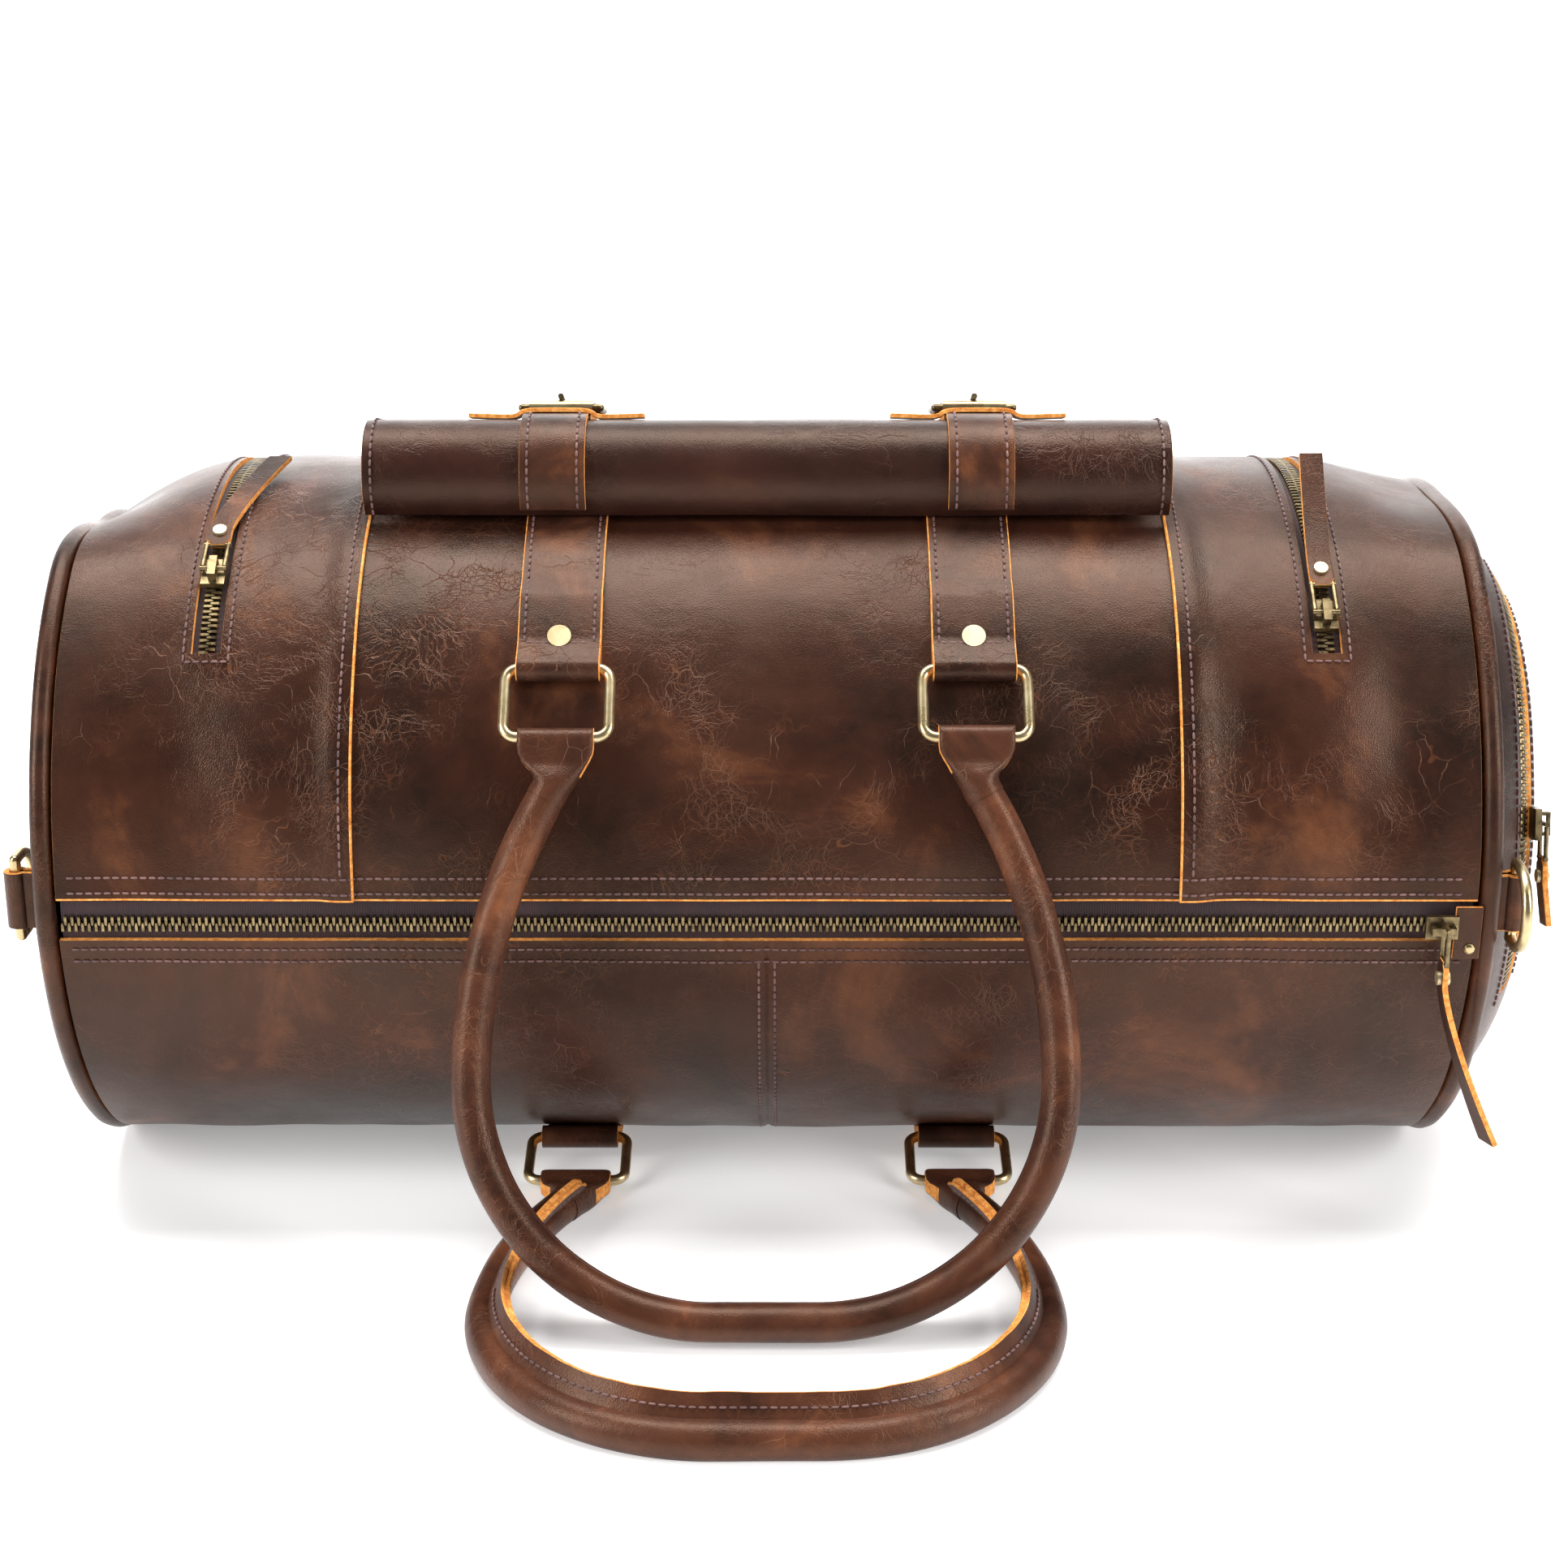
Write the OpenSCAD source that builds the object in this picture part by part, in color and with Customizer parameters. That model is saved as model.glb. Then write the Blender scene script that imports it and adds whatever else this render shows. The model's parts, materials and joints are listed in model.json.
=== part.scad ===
// Leather barrel duffel bag lying on its back panel, with its main zip facing -Y.
// X runs along the bag, Z is up and the bag rests on the plane Z = 0.
// Places around the barrel are given as an angle: 0 points to -Y, 90 points straight up.

/* [Barrel] */
// Radius of the barrel
bag_r = 140; // [120:1:170]
// Length of the barrel between its piped end seams
bag_l = 530; // [480:1:600]
// How far the barrel settles into its own base when it lies down
sag = 4; // [2:0.5:6]
// Thickness of the outer leather
leather = 2.4; // [1.6:0.2:3]
// Thickness of the lining
lining_t = 1; // [0.6:0.2:1.4]
// Bulge of the left end panel
bulge_left = 14; // [8:1:20]
// Bulge of the right end panel, which carries the end pocket
bulge_right = 34; // [24:1:38]
// Thickness of the piping along each end seam
piping_d = 8; // [5:0.5:8]
// Half the length of the middle front panel
side_seam_x = 153; // [140:1:170]

/* [Zips] */
// Angle of the main zip around the barrel
zip_angle = -2.5; // [-6:0.5:6]
// Gap between the leather edges beside a zip
zip_gap = 11; // [9:1:13]
// Width of the closed chain of teeth
chain_w = 6; // [5:0.5:7]
// Distance of each side pocket zip from the middle of the bag
side_zip_x = 209; // [195:1:220]
// Angle where each side pocket zip starts
side_zip_from = 40; // [36:1:44]
// Angle where each side pocket zip ends
side_zip_to = 122; // [110:1:130]
// Angle of the left side pocket slider
left_slider_angle = 54; // [50:0.5:60]
// Angle of the right side pocket slider
right_slider_angle = 46; // [45.5:0.5:60]
// Radius of the end pocket zip around the barrel axis
end_zip_r = 110; // [104:1:112]
// Angle where the end pocket zip starts
end_zip_from = -25; // [-30:1:-20]
// Angle where the end pocket zip ends
end_zip_to = 70; // [55:1:80]
// Angle of the end pocket slider
end_slider_angle = 12; // [6:1:20]

/* [Front pocket] */
// Width of the pocket
pocket_w = 310; // [280:1:320]
// Height of the pocket's rounded back above the barrel
pocket_h = 9; // [8:1:14]
// Angle where the flat top of the pocket meets its rounded back
lid_angle = 103; // [100:1:108]
// Radius of the rolled edge of the flap
roll_r = 20.5; // [18:0.5:22]
// Distance of the rolled edge in front of the rounded back
roll_s = 74; // [70:1:78]
// Angle where the pocket ends
pocket_to = 134; // [125:1:140]
// Distance of each buckle strap from the middle of the bag
buckle_x = 82; // [76:1:90]
// Width of a buckle strap
buckle_strap_w = 25; // [22:1:28]

/* [Handles] */
// Distance of each handle strap from the middle of the bag
ring_x = 77; // [70:1:85]
// Width of a handle strap
strap_w = 31; // [28:1:32]
// Outside width of a rectangular ring
ring_w = 43; // [40:1:46]
// Outside height of a rectangular ring
ring_h = 32; // [28:1:36]
// Thickness of the ring wire
wire_d = 4.2; // [3.6:0.1:4.4]
// Angle of the front strap loops
front_loop_angle = 36.6; // [34:0.2:40]
// Slope of the front rings below the horizontal
front_ring_slope = 48; // [46:1:50]
// Slope of the back rings below the horizontal
back_ring_slope = 13; // [11:0.5:14]
// Diameter of the rolled handles
handle_d = 14; // [12:0.5:16]
// Half the width of the hanging front handle
front_handle_half = 107; // [100:1:112]
// Reach of the front handle from its rings
front_handle_reach = 211; // [205:1:212]
// Half the width of the back handle as it lies
back_handle_half = 102; // [98:1:110]
// Reach of the back handle from its rings
back_handle_reach = 190; // [186:1:205]

/* [Hidden] */
$fn = 64;

half_l = bag_l / 2;
axis_z = bag_r - sag;
far = 2 * bag_r;
gap = 0.3;

// Angles where the panels meet.
edge = asin(zip_gap / 2 / bag_r);
base_from = 150;
base_to = 205;

tape_w = 16;
tape_t = 0.8;
tape_edge = asin(tape_w / 2 / bag_r);
chain_edge = asin(chain_w / 2 / bag_r);
zip_end = 8;

// Sliders and pulls share these sizes.
slider_w = 9;
slider_l = 12;
slider_t = 2.4;
lug_w = 3;
lug_h = 4.1;
lug_l = 9;
lug_hole_l = 6.4;
lug_hole_h = 2.4;
pull_wire_d = 1.8;
pull_wire_w = 10;
pull_wire_l = 15;
pull_w = 9;
pull_neck_w = 6;
pull_t = 2.2;
rivet_r = 2.6;
rivet_t = 1.2;
main_pull_l = 72;
side_pull_l = 58;
end_pull_l = 24;
main_slider_x = half_l - 14;
main_slider_r = bag_r + gap;
// Height of the middle of the lug's hole above the slider's underside.
hole_y = slider_t + lug_hole_h / 2 + 0.7;

strap_t = 2.2;
loop_bore = wire_d / 2 + gap;
loop_r = loop_bore + strap_t;
front_loop_r = bag_r + loop_r + gap;
bar_gap = ring_h - wire_d;
ring_corner = 5;

// Centres of the four bar lines, as [y, z].
function around(a, r) = [-r * cos(a), axis_z + r * sin(a)];
function step(p, slope, d) = [p[0] - d * cos(slope), p[1] - d * sin(slope)];
front_loop = around(front_loop_angle, front_loop_r);
front_bar = step(front_loop, front_ring_slope, bar_gap);
back_loop_z = loop_r + 0.1 + bar_gap * sin(back_ring_slope);
back_loop = [-sqrt(pow(front_loop_r, 2) - pow(axis_z - back_loop_z, 2)), back_loop_z];
back_loop_angle = -acos(-back_loop[0] / front_loop_r);
back_bar = step(back_loop, back_ring_slope, bar_gap);

tab_w = 28;
tab_neck = 16;
core_r = handle_d / 2 - strap_t;
front_rest_z = handle_d / 2 + 1.5;
back_rest_z = handle_d / 2;
front_handle_slope = asin((front_bar[1] - front_rest_z) / front_handle_reach);
back_handle_slope = asin((back_bar[1] - back_rest_z) / back_handle_reach);

// The flap's flat part lies on a plane that touches a circle of radius flap_r around the barrel
// axis at lid_angle. Places on it are given as a distance behind the line where they touch.
pocket_r = bag_r + pocket_h;
flap_r = pocket_r + leather + 0.5;
function on_lid_2d(s, r) = around(lid_angle, r) + s * [sin(lid_angle), cos(lid_angle)];
roll_c = on_lid_2d(-roll_s, flap_r - roll_r);
roll_turn = 145;
pocket_from = 79;
flap_s = -2;
buckle_s = -38;
keeper_s = -68;
frame_wire = 3;
frame_w = 34;
frame_l = 26;
far_bar = (frame_l - frame_wire) / 2;
roller_r = 3;

// Height of an end panel beyond its seam, at a distance r from the axis.
end_rim = bag_r - piping_d + 0.8;
end_power = 5;
end_lift = 1;
function end_x(r, bulge) = half_l + end_lift + leather + bulge * (1 - pow(r / end_rim, end_power));

leather_c = "#4a2c22";
brass_c = "#b59a62";
antique_c = "#6f5f40";
tape_c = "#35181c";

// ---- shared shapes ----

// Extrudes a [Y, Z] outline from x0 to x1.
module along_x(x0, x1) {
    translate([x0, 0, 0]) rotate([90, 0, 90]) linear_extrude(x1 - x0) children();
}

// Outline of the settled barrel, moved inwards by inset.
module barrel_2d(inset) {
    intersection() {
        translate([0, axis_z]) circle(r = bag_r - inset, $fn = 180);
        translate([-far, max(inset, 0)]) square([2 * far, 2 * far]);
    }
}

module wall_2d(outer, inner) {
    difference() {
        barrel_2d(outer);
        barrel_2d(inner);
    }
}

// A wedge of the barrel between two angles.
module sector_2d(a0, a1) {
    steps = 4;
    corners = [for (i = [0:steps]) a0 + (a1 - a0) * i / steps];
    translate([0, axis_z])
        polygon(concat([[0, 0]], [for (a = corners) [-far * cos(a), far * sin(a)]]));
}

module panel(x0, x1, a0, a1) {
    along_x(x0, x1) intersection() {
        wall_2d(0, leather);
        sector_2d(a0, a1);
    }
}

// A band between two radii, two angles and two places along the bag.
module band(r0, r1, a0, a1, x0, x1) {
    translate([x0, 0, axis_z]) rotate([0, 90, 0]) rotate([0, 0, -90 - a1])
        rotate_extrude(angle = a1 - a0, $fn = 180) translate([r0, 0]) square([r1 - r0, x1 - x0]);
}

// Moves to the barrel's surface: -Y points out of it and +Z to larger angles.
module on_barrel(x, a, r) {
    translate([x, 0, axis_z]) rotate([-a, 0, 0]) translate([0, -r, 0]) children();
}

// A cylinder along X, centred on its own middle.
module rod_x(r, l) {
    rotate([0, 90, 0]) cylinder(r = r, h = l, center = true);
}

// ---- barrel ----

module side_window(side) {
    x = side * side_zip_x;
    along_x(x - zip_gap / 2, x + zip_gap / 2) sector_2d(side_zip_from, side_zip_to);
}

module front_panel_left() {
    color(leather_c) difference() {
        panel(-half_l, -side_seam_x, zip_angle + edge, base_from);
        side_window(-1);
    }
}

module front_panel_centre() {
    color(leather_c) panel(-side_seam_x, side_seam_x, zip_angle + edge, base_from);
}

module front_panel_right() {
    color(leather_c) difference() {
        panel(side_seam_x, half_l, zip_angle + edge, base_from);
        side_window(1);
    }
}

module base_panel() {
    color(leather_c) panel(-half_l, half_l, base_from, base_to);
}

module back_panel_left() {
    color(leather_c) panel(-half_l, 0, base_to - 360, zip_angle - edge);
}

module back_panel_right() {
    color(leather_c) panel(0, half_l, base_to - 360, zip_angle - edge);
}

// Half cross-section of an end panel, as [radius, height].
module end_profile(bulge, from_r, to_r, drop, thick) {
    steps = 16;
    radii = [for (i = [0:steps]) from_r + (to_r - from_r) * i / steps];
    top = [for (r = radii) [r, end_x(r, bulge) - drop]];
    under = [for (i = [steps:-1:0]) [radii[i], end_x(radii[i], bulge) - drop - thick]];
    polygon(concat(top, under));
}

module end_dome(bulge) {
    translate([0, 0, axis_z]) rotate([0, 90, 0]) rotate_extrude($fn = 120)
        end_profile(bulge, 0, end_rim, 0, leather);
}

module end_panel_left() {
    color(leather_c) mirror([1, 0, 0]) end_dome(bulge_left);
}

module end_panel_right() {
    color(leather_c) difference() {
        end_dome(bulge_right);
        band(end_zip_r - zip_gap / 2, end_zip_r + zip_gap / 2, end_zip_from, end_zip_to, half_l, half_l + far);
    }
}

module piping(side) {
    intersection() {
        translate([side * (half_l + piping_d / 2), 0, axis_z]) rotate([0, 90, 0])
            rotate_extrude($fn = 120) translate([bag_r - piping_d / 2 + 1, 0]) circle(d = piping_d, $fn = 32);
        translate([-far, -far, 0]) cube(3 * far);
    }
}

module piping_left() {
    color(leather_c) piping(-1);
}

module piping_right() {
    color(leather_c) piping(1);
}

module lining() {
    inset = leather + tape_t + 0.2;
    end_t = lining_t;
    color("#6b5a48") difference() {
        along_x(-half_l, half_l) barrel_2d(inset);
        along_x(-half_l + end_t, half_l - end_t) barrel_2d(inset + lining_t);
        along_x(-half_l + end_t, half_l - end_t) sector_2d(zip_angle - 2 * edge, zip_angle + 2 * edge);
    }
}

// ---- zips ----

module main_zip_tape() {
    color(tape_c) band(bag_r - leather - tape_t - 0.1, bag_r - leather - 0.1, zip_angle - tape_edge,
                       zip_angle + tape_edge, -half_l + 2, half_l - 2);
}

module main_zip_teeth() {
    color(antique_c) band(bag_r - leather, bag_r - 0.4, zip_angle - chain_edge, zip_angle + chain_edge,
                          -half_l + zip_end, half_l - zip_end);
}

module zip_end_tab() {
    tab_l = 8;
    tab_h = 16;
    color(leather_c) on_barrel(half_l - tab_l / 2, zip_angle, bag_r + 0.8)
        cube([tab_l, strap_t * 0.6, tab_h], center = true);
}

module side_zip_tapes() {
    color(tape_c) for (side = [-1, 1])
        band(bag_r - leather - tape_t - 0.1, bag_r - leather - 0.1, side_zip_from - 2, side_zip_to + 2,
             side * side_zip_x - tape_w / 2, side * side_zip_x + tape_w / 2);
}

module side_zip_teeth() {
    color(antique_c) for (side = [-1, 1])
        band(bag_r - leather, bag_r - 0.4, side_zip_from + 1, side_zip_to - 1,
             side * side_zip_x - chain_w / 2, side * side_zip_x + chain_w / 2);
}

// A strip that follows the right end panel, below its surface by drop.
module end_strip(width, drop, thick, a0, a1) {
    translate([0, 0, axis_z]) rotate([0, 90, 0]) rotate([0, 0, -90 - a1])
        rotate_extrude(angle = a1 - a0, $fn = 120)
            end_profile(bulge_right, end_zip_r - width / 2, end_zip_r + width / 2, drop, thick);
}

module end_zip_tape() {
    color(tape_c) end_strip(tape_w, leather + 0.4, tape_t, end_zip_from - 2, end_zip_to + 2);
}

module end_zip_teeth() {
    color(antique_c) end_strip(chain_w, 0.4, leather - 0.4, end_zip_from + 1, end_zip_to - 1);
}

// A slider with its lug. It slides along X with its plate on the plane y = 0 and its lug at -Y.
module slider() {
    difference() {
        union() {
            translate([-slider_l / 2, -slider_t, -slider_w / 2]) cube([slider_l, slider_t, slider_w]);
            translate([-lug_l / 2, -slider_t - lug_h, -lug_w / 2]) cube([lug_l, lug_h + 0.1, lug_w]);
        }
        translate([-lug_hole_l / 2, -hole_y - lug_hole_h / 2, -slider_w])
            cube([lug_hole_l, lug_hole_h, 2 * slider_w]);
    }
}

// A wire loop that hangs along -Z from its top bar, which runs along X.
module pull_wire() {
    r = pull_wire_d / 2;
    for (s = [-1, 1])
        translate([s * (pull_wire_w / 2 - r), 0, -pull_wire_l + r]) cylinder(r = r, h = pull_wire_l - 2 * r, $fn = 24);
    for (z = [0, -pull_wire_l + 2 * r])
        translate([0, 0, z]) rod_x(r, pull_wire_w, $fn = 24);
}

// A leather tag below the wire loop. Its neck folds over the loop's lower bar.
module pull_tag(length) {
    shoulder = -pull_wire_l - gap;
    neck_l = pull_wire_d * 1.5 + gap;
    difference() {
        union() {
            translate([-pull_w / 2, -pull_t / 2, -pull_wire_l - length])
                cube([pull_w, pull_t, length - gap]);
            translate([-pull_neck_w / 2, -pull_t / 2, shoulder - 1]) cube([pull_neck_w, pull_t, neck_l + 1]);
        }
        translate([0, 0, -pull_wire_l + pull_wire_d]) rod_x(pull_wire_d / 2 + 0.05, pull_w + 1, $fn = 24);
    }
}

module pull_rivet() {
    for (s = [-1, 1])
        translate([0, s * (pull_t + rivet_t) / 2, -pull_wire_l - 5]) rotate([90, 0, 0])
            cylinder(r = rivet_r, h = rivet_t, center = true);
}

// The three parts of a pull, chosen by name.
module pull(kind, length) {
    if (kind == "wire") color(antique_c) pull_wire();
    if (kind == "tag") color(leather_c) pull_tag(length);
    if (kind == "rivet") color(brass_c) pull_rivet();
}

module main_slider() {
    color(antique_c) on_barrel(main_slider_x, zip_angle, main_slider_r) slider();
}

// The main pull's loop runs through the lug and hangs straight down, edge on to the front.
main_hole = around(zip_angle, main_slider_r + hole_y);
main_pull_pivot = [main_hole[0] - (pull_wire_w - pull_wire_d) / 2, main_hole[1] + (lug_w + pull_wire_d) / 2 + gap];

module main_pull(kind) {
    translate([main_slider_x, main_pull_pivot[0], main_pull_pivot[1]]) rotate([0, 0, 90]) pull(kind, main_pull_l);
}

module main_pull_wire() {
    main_pull("wire");
}

module main_pull_leather() {
    main_pull("tag");
}

module main_pull_rivet() {
    main_pull("rivet");
}

// A side slider runs around the barrel, and its pull lies back along the leather.
side_pull_lean = 8;

module side_slider(side, a) {
    color(antique_c) on_barrel(side * side_zip_x, a, bag_r + gap) rotate([0, 90, 0]) slider();
}

module side_pull(side, a, kind) {
    on_barrel(side * side_zip_x, a, bag_r + gap + hole_y) rotate([180 - side_pull_lean, 0, 0])
        pull(kind, side_pull_l);
}

module left_slider() {
    side_slider(-1, left_slider_angle);
}

module left_pull_wire() {
    side_pull(-1, left_slider_angle, "wire");
}

module left_pull_leather() {
    side_pull(-1, left_slider_angle, "tag");
}

module left_pull_rivet() {
    side_pull(-1, left_slider_angle, "rivet");
}

module right_slider() {
    side_slider(1, right_slider_angle);
}

module right_pull_wire() {
    side_pull(1, right_slider_angle, "wire");
}

module right_pull_leather() {
    side_pull(1, right_slider_angle, "tag");
}

module right_pull_rivet() {
    side_pull(1, right_slider_angle, "rivet");
}

// Moves to the right end panel over its zip: -Y points out of the panel and +X down along the zip.
module on_end(lift) {
    top = end_x(end_zip_r - chain_w / 2, bulge_right);
    translate([top + lift, 0, axis_z]) rotate([-end_slider_angle, 0, 0]) translate([0, -end_zip_r, 0])
        rotate([0, 90, 0]) rotate([-90, 0, 0]) children();
}

module end_slider() {
    color(antique_c) on_end(gap) slider();
}

module end_pull(kind) {
    on_end(gap + hole_y) rotate([0, -90, 0]) pull(kind, end_pull_l);
}

module end_pull_wire() {
    end_pull("wire");
}

module end_pull_leather() {
    end_pull("tag");
}

module end_pull_rivet() {
    end_pull("rivet");
}

// ---- front pocket ----

// Outline of the pocket between two angles: its flat top runs into its rounded back.
module pocket_2d(outer_r, inner_r, a0, a1) {
    difference() {
        intersection() {
            union() {
                translate([0, axis_z]) circle(r = outer_r, $fn = 180);
                translate([0, axis_z]) rotate(90 - lid_angle) translate([-far, 0]) square([far, outer_r]);
            }
            sector_2d(a0, a1);
        }
        translate([0, axis_z]) circle(r = inner_r, $fn = 180);
    }
}

module pocket_body() {
    half = pocket_w / 2;
    inner = half - leather;
    bottom_span = leather / bag_r * 180 / PI;
    color(leather_c) difference() {
        along_x(-half, half) pocket_2d(pocket_r, bag_r + 0.1, pocket_from, pocket_to);
        along_x(-inner, inner) pocket_2d(pocket_r - leather, bag_r - 1, pocket_from - 5, pocket_to - bottom_span);
    }
}

// Cross-section of leather on the flap, between the heights h0 and h1 above it. It turns around
// the rolled edge by turn degrees and runs back along the flat part to the place s1.
module flap_section(h0, h1, turn, s1) {
    translate([0, axis_z]) rotate(90 - lid_angle)
        translate([-roll_s, flap_r + h0]) square([roll_s + s1, h1 - h0]);
    translate(roll_c) rotate(90 - lid_angle) intersection() {
        difference() {
            circle(r = roll_r + h1);
            circle(r = roll_r + h0);
        }
        polygon(concat([[0, 0]], [for (i = [0:4]) far * [-sin(turn * i / 4), cos(turn * i / 4)]]));
    }
}

// Moves to the flap's flat part: -Y points out of it and +Z to its back edge.
module on_lid(x, s, h) {
    on_barrel(x, lid_angle, flap_r + h) translate([0, 0, s]) children();
}

// Moves to the middle of a buckle.
module on_buckle(side) {
    on_lid(side * buckle_x, buckle_s, strap_t + roller_r + 2 * gap) children();
}

// A box on the flap's flat part.
module lid_box(x0, x1, s0, s1, h0, h1) {
    on_lid(0, 0, 0) translate([x0, -h1, s0]) cube([x1 - x0, h1 - h0, s1 - s0]);
}

module pocket_flap() {
    color(leather_c) along_x(-pocket_w / 2, pocket_w / 2) flap_section(-leather, 0, roll_turn, flap_s);
}

module buckle_straps() {
    chape_r = frame_wire / 2 + 1.6;
    bare_turn = 30;
    tongue_s = 14;
    half = buckle_strap_w / 2;
    prong_room = 3;
    color(leather_c) for (side = [-1, 1]) {
        x = side * buckle_x;
        along_x(x - half, x + half) flap_section(0, strap_t, roll_turn - bare_turn, tongue_s);
        on_buckle(side) for (s = [-1, 1])
            translate([s * (half + prong_room) / 2, 0, far_bar]) difference() {
                union() {
                    rod_x(chape_r, half - prong_room);
                    translate([-(half - prong_room) / 2, 0, -chape_r])
                        cube([half - prong_room, roller_r + 2 * gap, 2 * chape_r]);
                }
                rod_x(frame_wire / 2, half);
            }
    }
}

module strap_keepers() {
    keeper_w = 68;
    span = 6;
    t = 1.8;
    clear = 0.2;
    half = buckle_strap_w / 2 + clear;
    top = strap_t + clear;
    s0 = keeper_s - span;
    s1 = keeper_s + span;
    color(leather_c) for (side = [-1, 1]) {
        x = side * buckle_x;
        lid_box(x - half - t, x + half + t, s0, s1, top, top + t);
        for (m = [-1, 1]) {
            leg = x + m * (half + t / 2);
            wing = x + m * (keeper_w / 2 + half + t) / 2;
            wing_half = (keeper_w / 2 - half - t) / 2;
            lid_box(leg - t / 2, leg + t / 2, s0, s1, 0, top);
            lid_box(wing - wing_half, wing + wing_half, s0, s1, 0, t);
        }
    }
}

module buckle_frames() {
    side_bar = (frame_w - frame_wire) / 2;
    color(antique_c) for (side = [-1, 1])
        on_buckle(side) {
            for (z = [-far_bar, far_bar])
                translate([0, 0, z]) rod_x(frame_wire / 2, 2 * side_bar);
            for (x = [-side_bar, side_bar]) {
                translate([x, 0, -far_bar]) cylinder(d = frame_wire, h = 2 * far_bar);
                for (z = [-far_bar, far_bar])
                    translate([x, 0, z]) sphere(d = frame_wire);
            }
        }
}

// The prong turns on the far bar and rests on the roller.
module buckle_prong(side) {
    prong_r = 1.2;
    eye_w = 4;
    eye_r = frame_wire / 2 + 1.3;
    rise = roller_r + prong_r + 0.1;
    slope = atan((rise - eye_r + prong_r) / (2 * far_bar));
    color(antique_c) on_buckle(side) difference() {
        union() {
            translate([0, 0, far_bar]) rod_x(eye_r, eye_w);
            translate([0, -eye_r + prong_r, far_bar]) rotate([180 - slope, 0, 0])
                cylinder(r = prong_r, h = 2 * far_bar + 2, $fn = 32);
        }
        translate([0, 0, far_bar]) rod_x(frame_wire / 2 + 0.1, eye_w + 1);
    }
}

module buckle_prong_left() {
    buckle_prong(-1);
}

module buckle_prong_right() {
    buckle_prong(1);
}

module buckle_roller(side) {
    color(brass_c) on_buckle(side) translate([0, 0, -far_bar]) difference() {
        rod_x(roller_r, buckle_strap_w);
        rod_x(frame_wire / 2 + 0.1, buckle_strap_w + 1);
    }
}

module buckle_roller_left() {
    buckle_roller(-1);
}

module buckle_roller_right() {
    buckle_roller(1);
}

// ---- handles ----

fold_span = 13;
rivet_span = 5.2;

module ring_2d(r0, r1) {
    translate([0, axis_z]) difference() {
        circle(r = r1, $fn = 180);
        circle(r = r0, $fn = 180);
    }
}

// Cross-section of a strap on the barrel: its end is folded around a bar at loop and sewn down
// between the two angles of fold, and the strap goes on between the angles of each run.
module strap_section(loop, fold, runs) {
    difference() {
        union() {
            translate(loop) circle(r = loop_r);
            intersection() {
                ring_2d(bag_r + 0.1, bag_r + 2 * strap_t);
                sector_2d(fold[0], fold[1]);
            }
            for (run = runs) intersection() {
                ring_2d(bag_r + 0.1, bag_r + strap_t);
                sector_2d(run[0], run[1]);
            }
        }
        translate(loop) circle(r = loop_bore);
    }
}

module strap_pair() {
    color(leather_c) for (x = [-ring_x, ring_x])
        along_x(x - strap_w / 2, x + strap_w / 2) children();
}

module handle_straps_front() {
    hidden_to = 76;
    fold_to = front_loop_angle + fold_span;
    strap_pair() strap_section(front_loop, [front_loop_angle, fold_to],
                               [[fold_to - 1, hidden_to], [pocket_to + 0.5, base_from]]);
}

// The back straps are pressed flush into the bag where it rests on them.
module handle_straps_back() {
    fold_to = back_loop_angle - fold_span;
    strap_pair() intersection() {
        strap_section(back_loop, [fold_to, back_loop_angle], [[base_to - 360, fold_to + 1]]);
        translate([-far, 0]) square([2 * far, far]);
    }
}

module strap_rivets() {
    head_r = 4.4;
    head_t = 1.4;
    color(brass_c) for (x = [-ring_x, ring_x])
        on_barrel(x, front_loop_angle + rivet_span, bag_r + 2 * strap_t + head_t / 2) rotate([90, 0, 0])
            cylinder(r = head_r, h = head_t, center = true);
}

// A rounded rectangular ring in the XZ plane, with its top bar along X at z = 0.
module rect_ring() {
    x = (ring_w - wire_d) / 2 - ring_corner;
    top = -ring_corner;
    low = ring_corner - bar_gap;
    corners = [[x, top, 0], [-x, top, 90], [-x, low, 180], [x, low, 270]];
    rotate([90, 0, 0]) for (c = corners)
        translate([c[0], c[1], 0]) rotate([0, 0, c[2]]) rotate_extrude(angle = 90)
            translate([ring_corner, 0]) circle(d = wire_d);
    for (z = [0, -bar_gap])
        translate([0, 0, z]) rod_x(wire_d / 2, 2 * x);
    for (s = [-1, 1])
        translate([s * (x + ring_corner), 0, low]) cylinder(d = wire_d, h = top - low);
}

// Moves to a bar line: -Z points down the slope, away from the bag.
module on_bar(x, p, slope) {
    translate([x, p[0], p[1]]) rotate([slope - 90, 0, 0]) children();
}

module front_rings() {
    color(brass_c) for (x = [-ring_x, ring_x])
        on_bar(x, front_loop, front_ring_slope) rect_ring();
}

module back_rings() {
    color(brass_c) for (x = [-ring_x, ring_x])
        on_bar(x, back_loop, back_ring_slope) rect_ring();
}

bend_share = 0.82;

// Slope at the top of a handle's legs, which start above its rings and end half apart.
function leg_lean(half, reach) = 2 * atan((half - ring_x) / (reach - bend_share * half - tab_neck));

// A U of the section given by its children, in the XZ plane, that starts at the necks of the two
// tabs and reaches down to z = -reach. Its legs lean outwards until the U is 2 * half wide.
module handle_u(half, reach) {
    bend = bend_share * half;
    turn = reach - bend;
    lean = leg_lean(half, reach);
    leg_r = (turn - tab_neck) / sin(lean);
    rotate([90, 0, 0]) for (m = [0, 1]) mirror([m, 0, 0]) {
        translate([half - bend, -turn, 0]) rotate([0, 0, -90]) rotate_extrude(angle = 90)
            translate([bend, 0]) children();
        translate([half - leg_r, -turn, 0]) rotate_extrude(angle = lean)
            translate([leg_r, 0]) children();
        translate([0, -reach, 0]) rotate([90, 0, 90]) linear_extrude(half - bend) rotate(90) children();
    }
}

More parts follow.
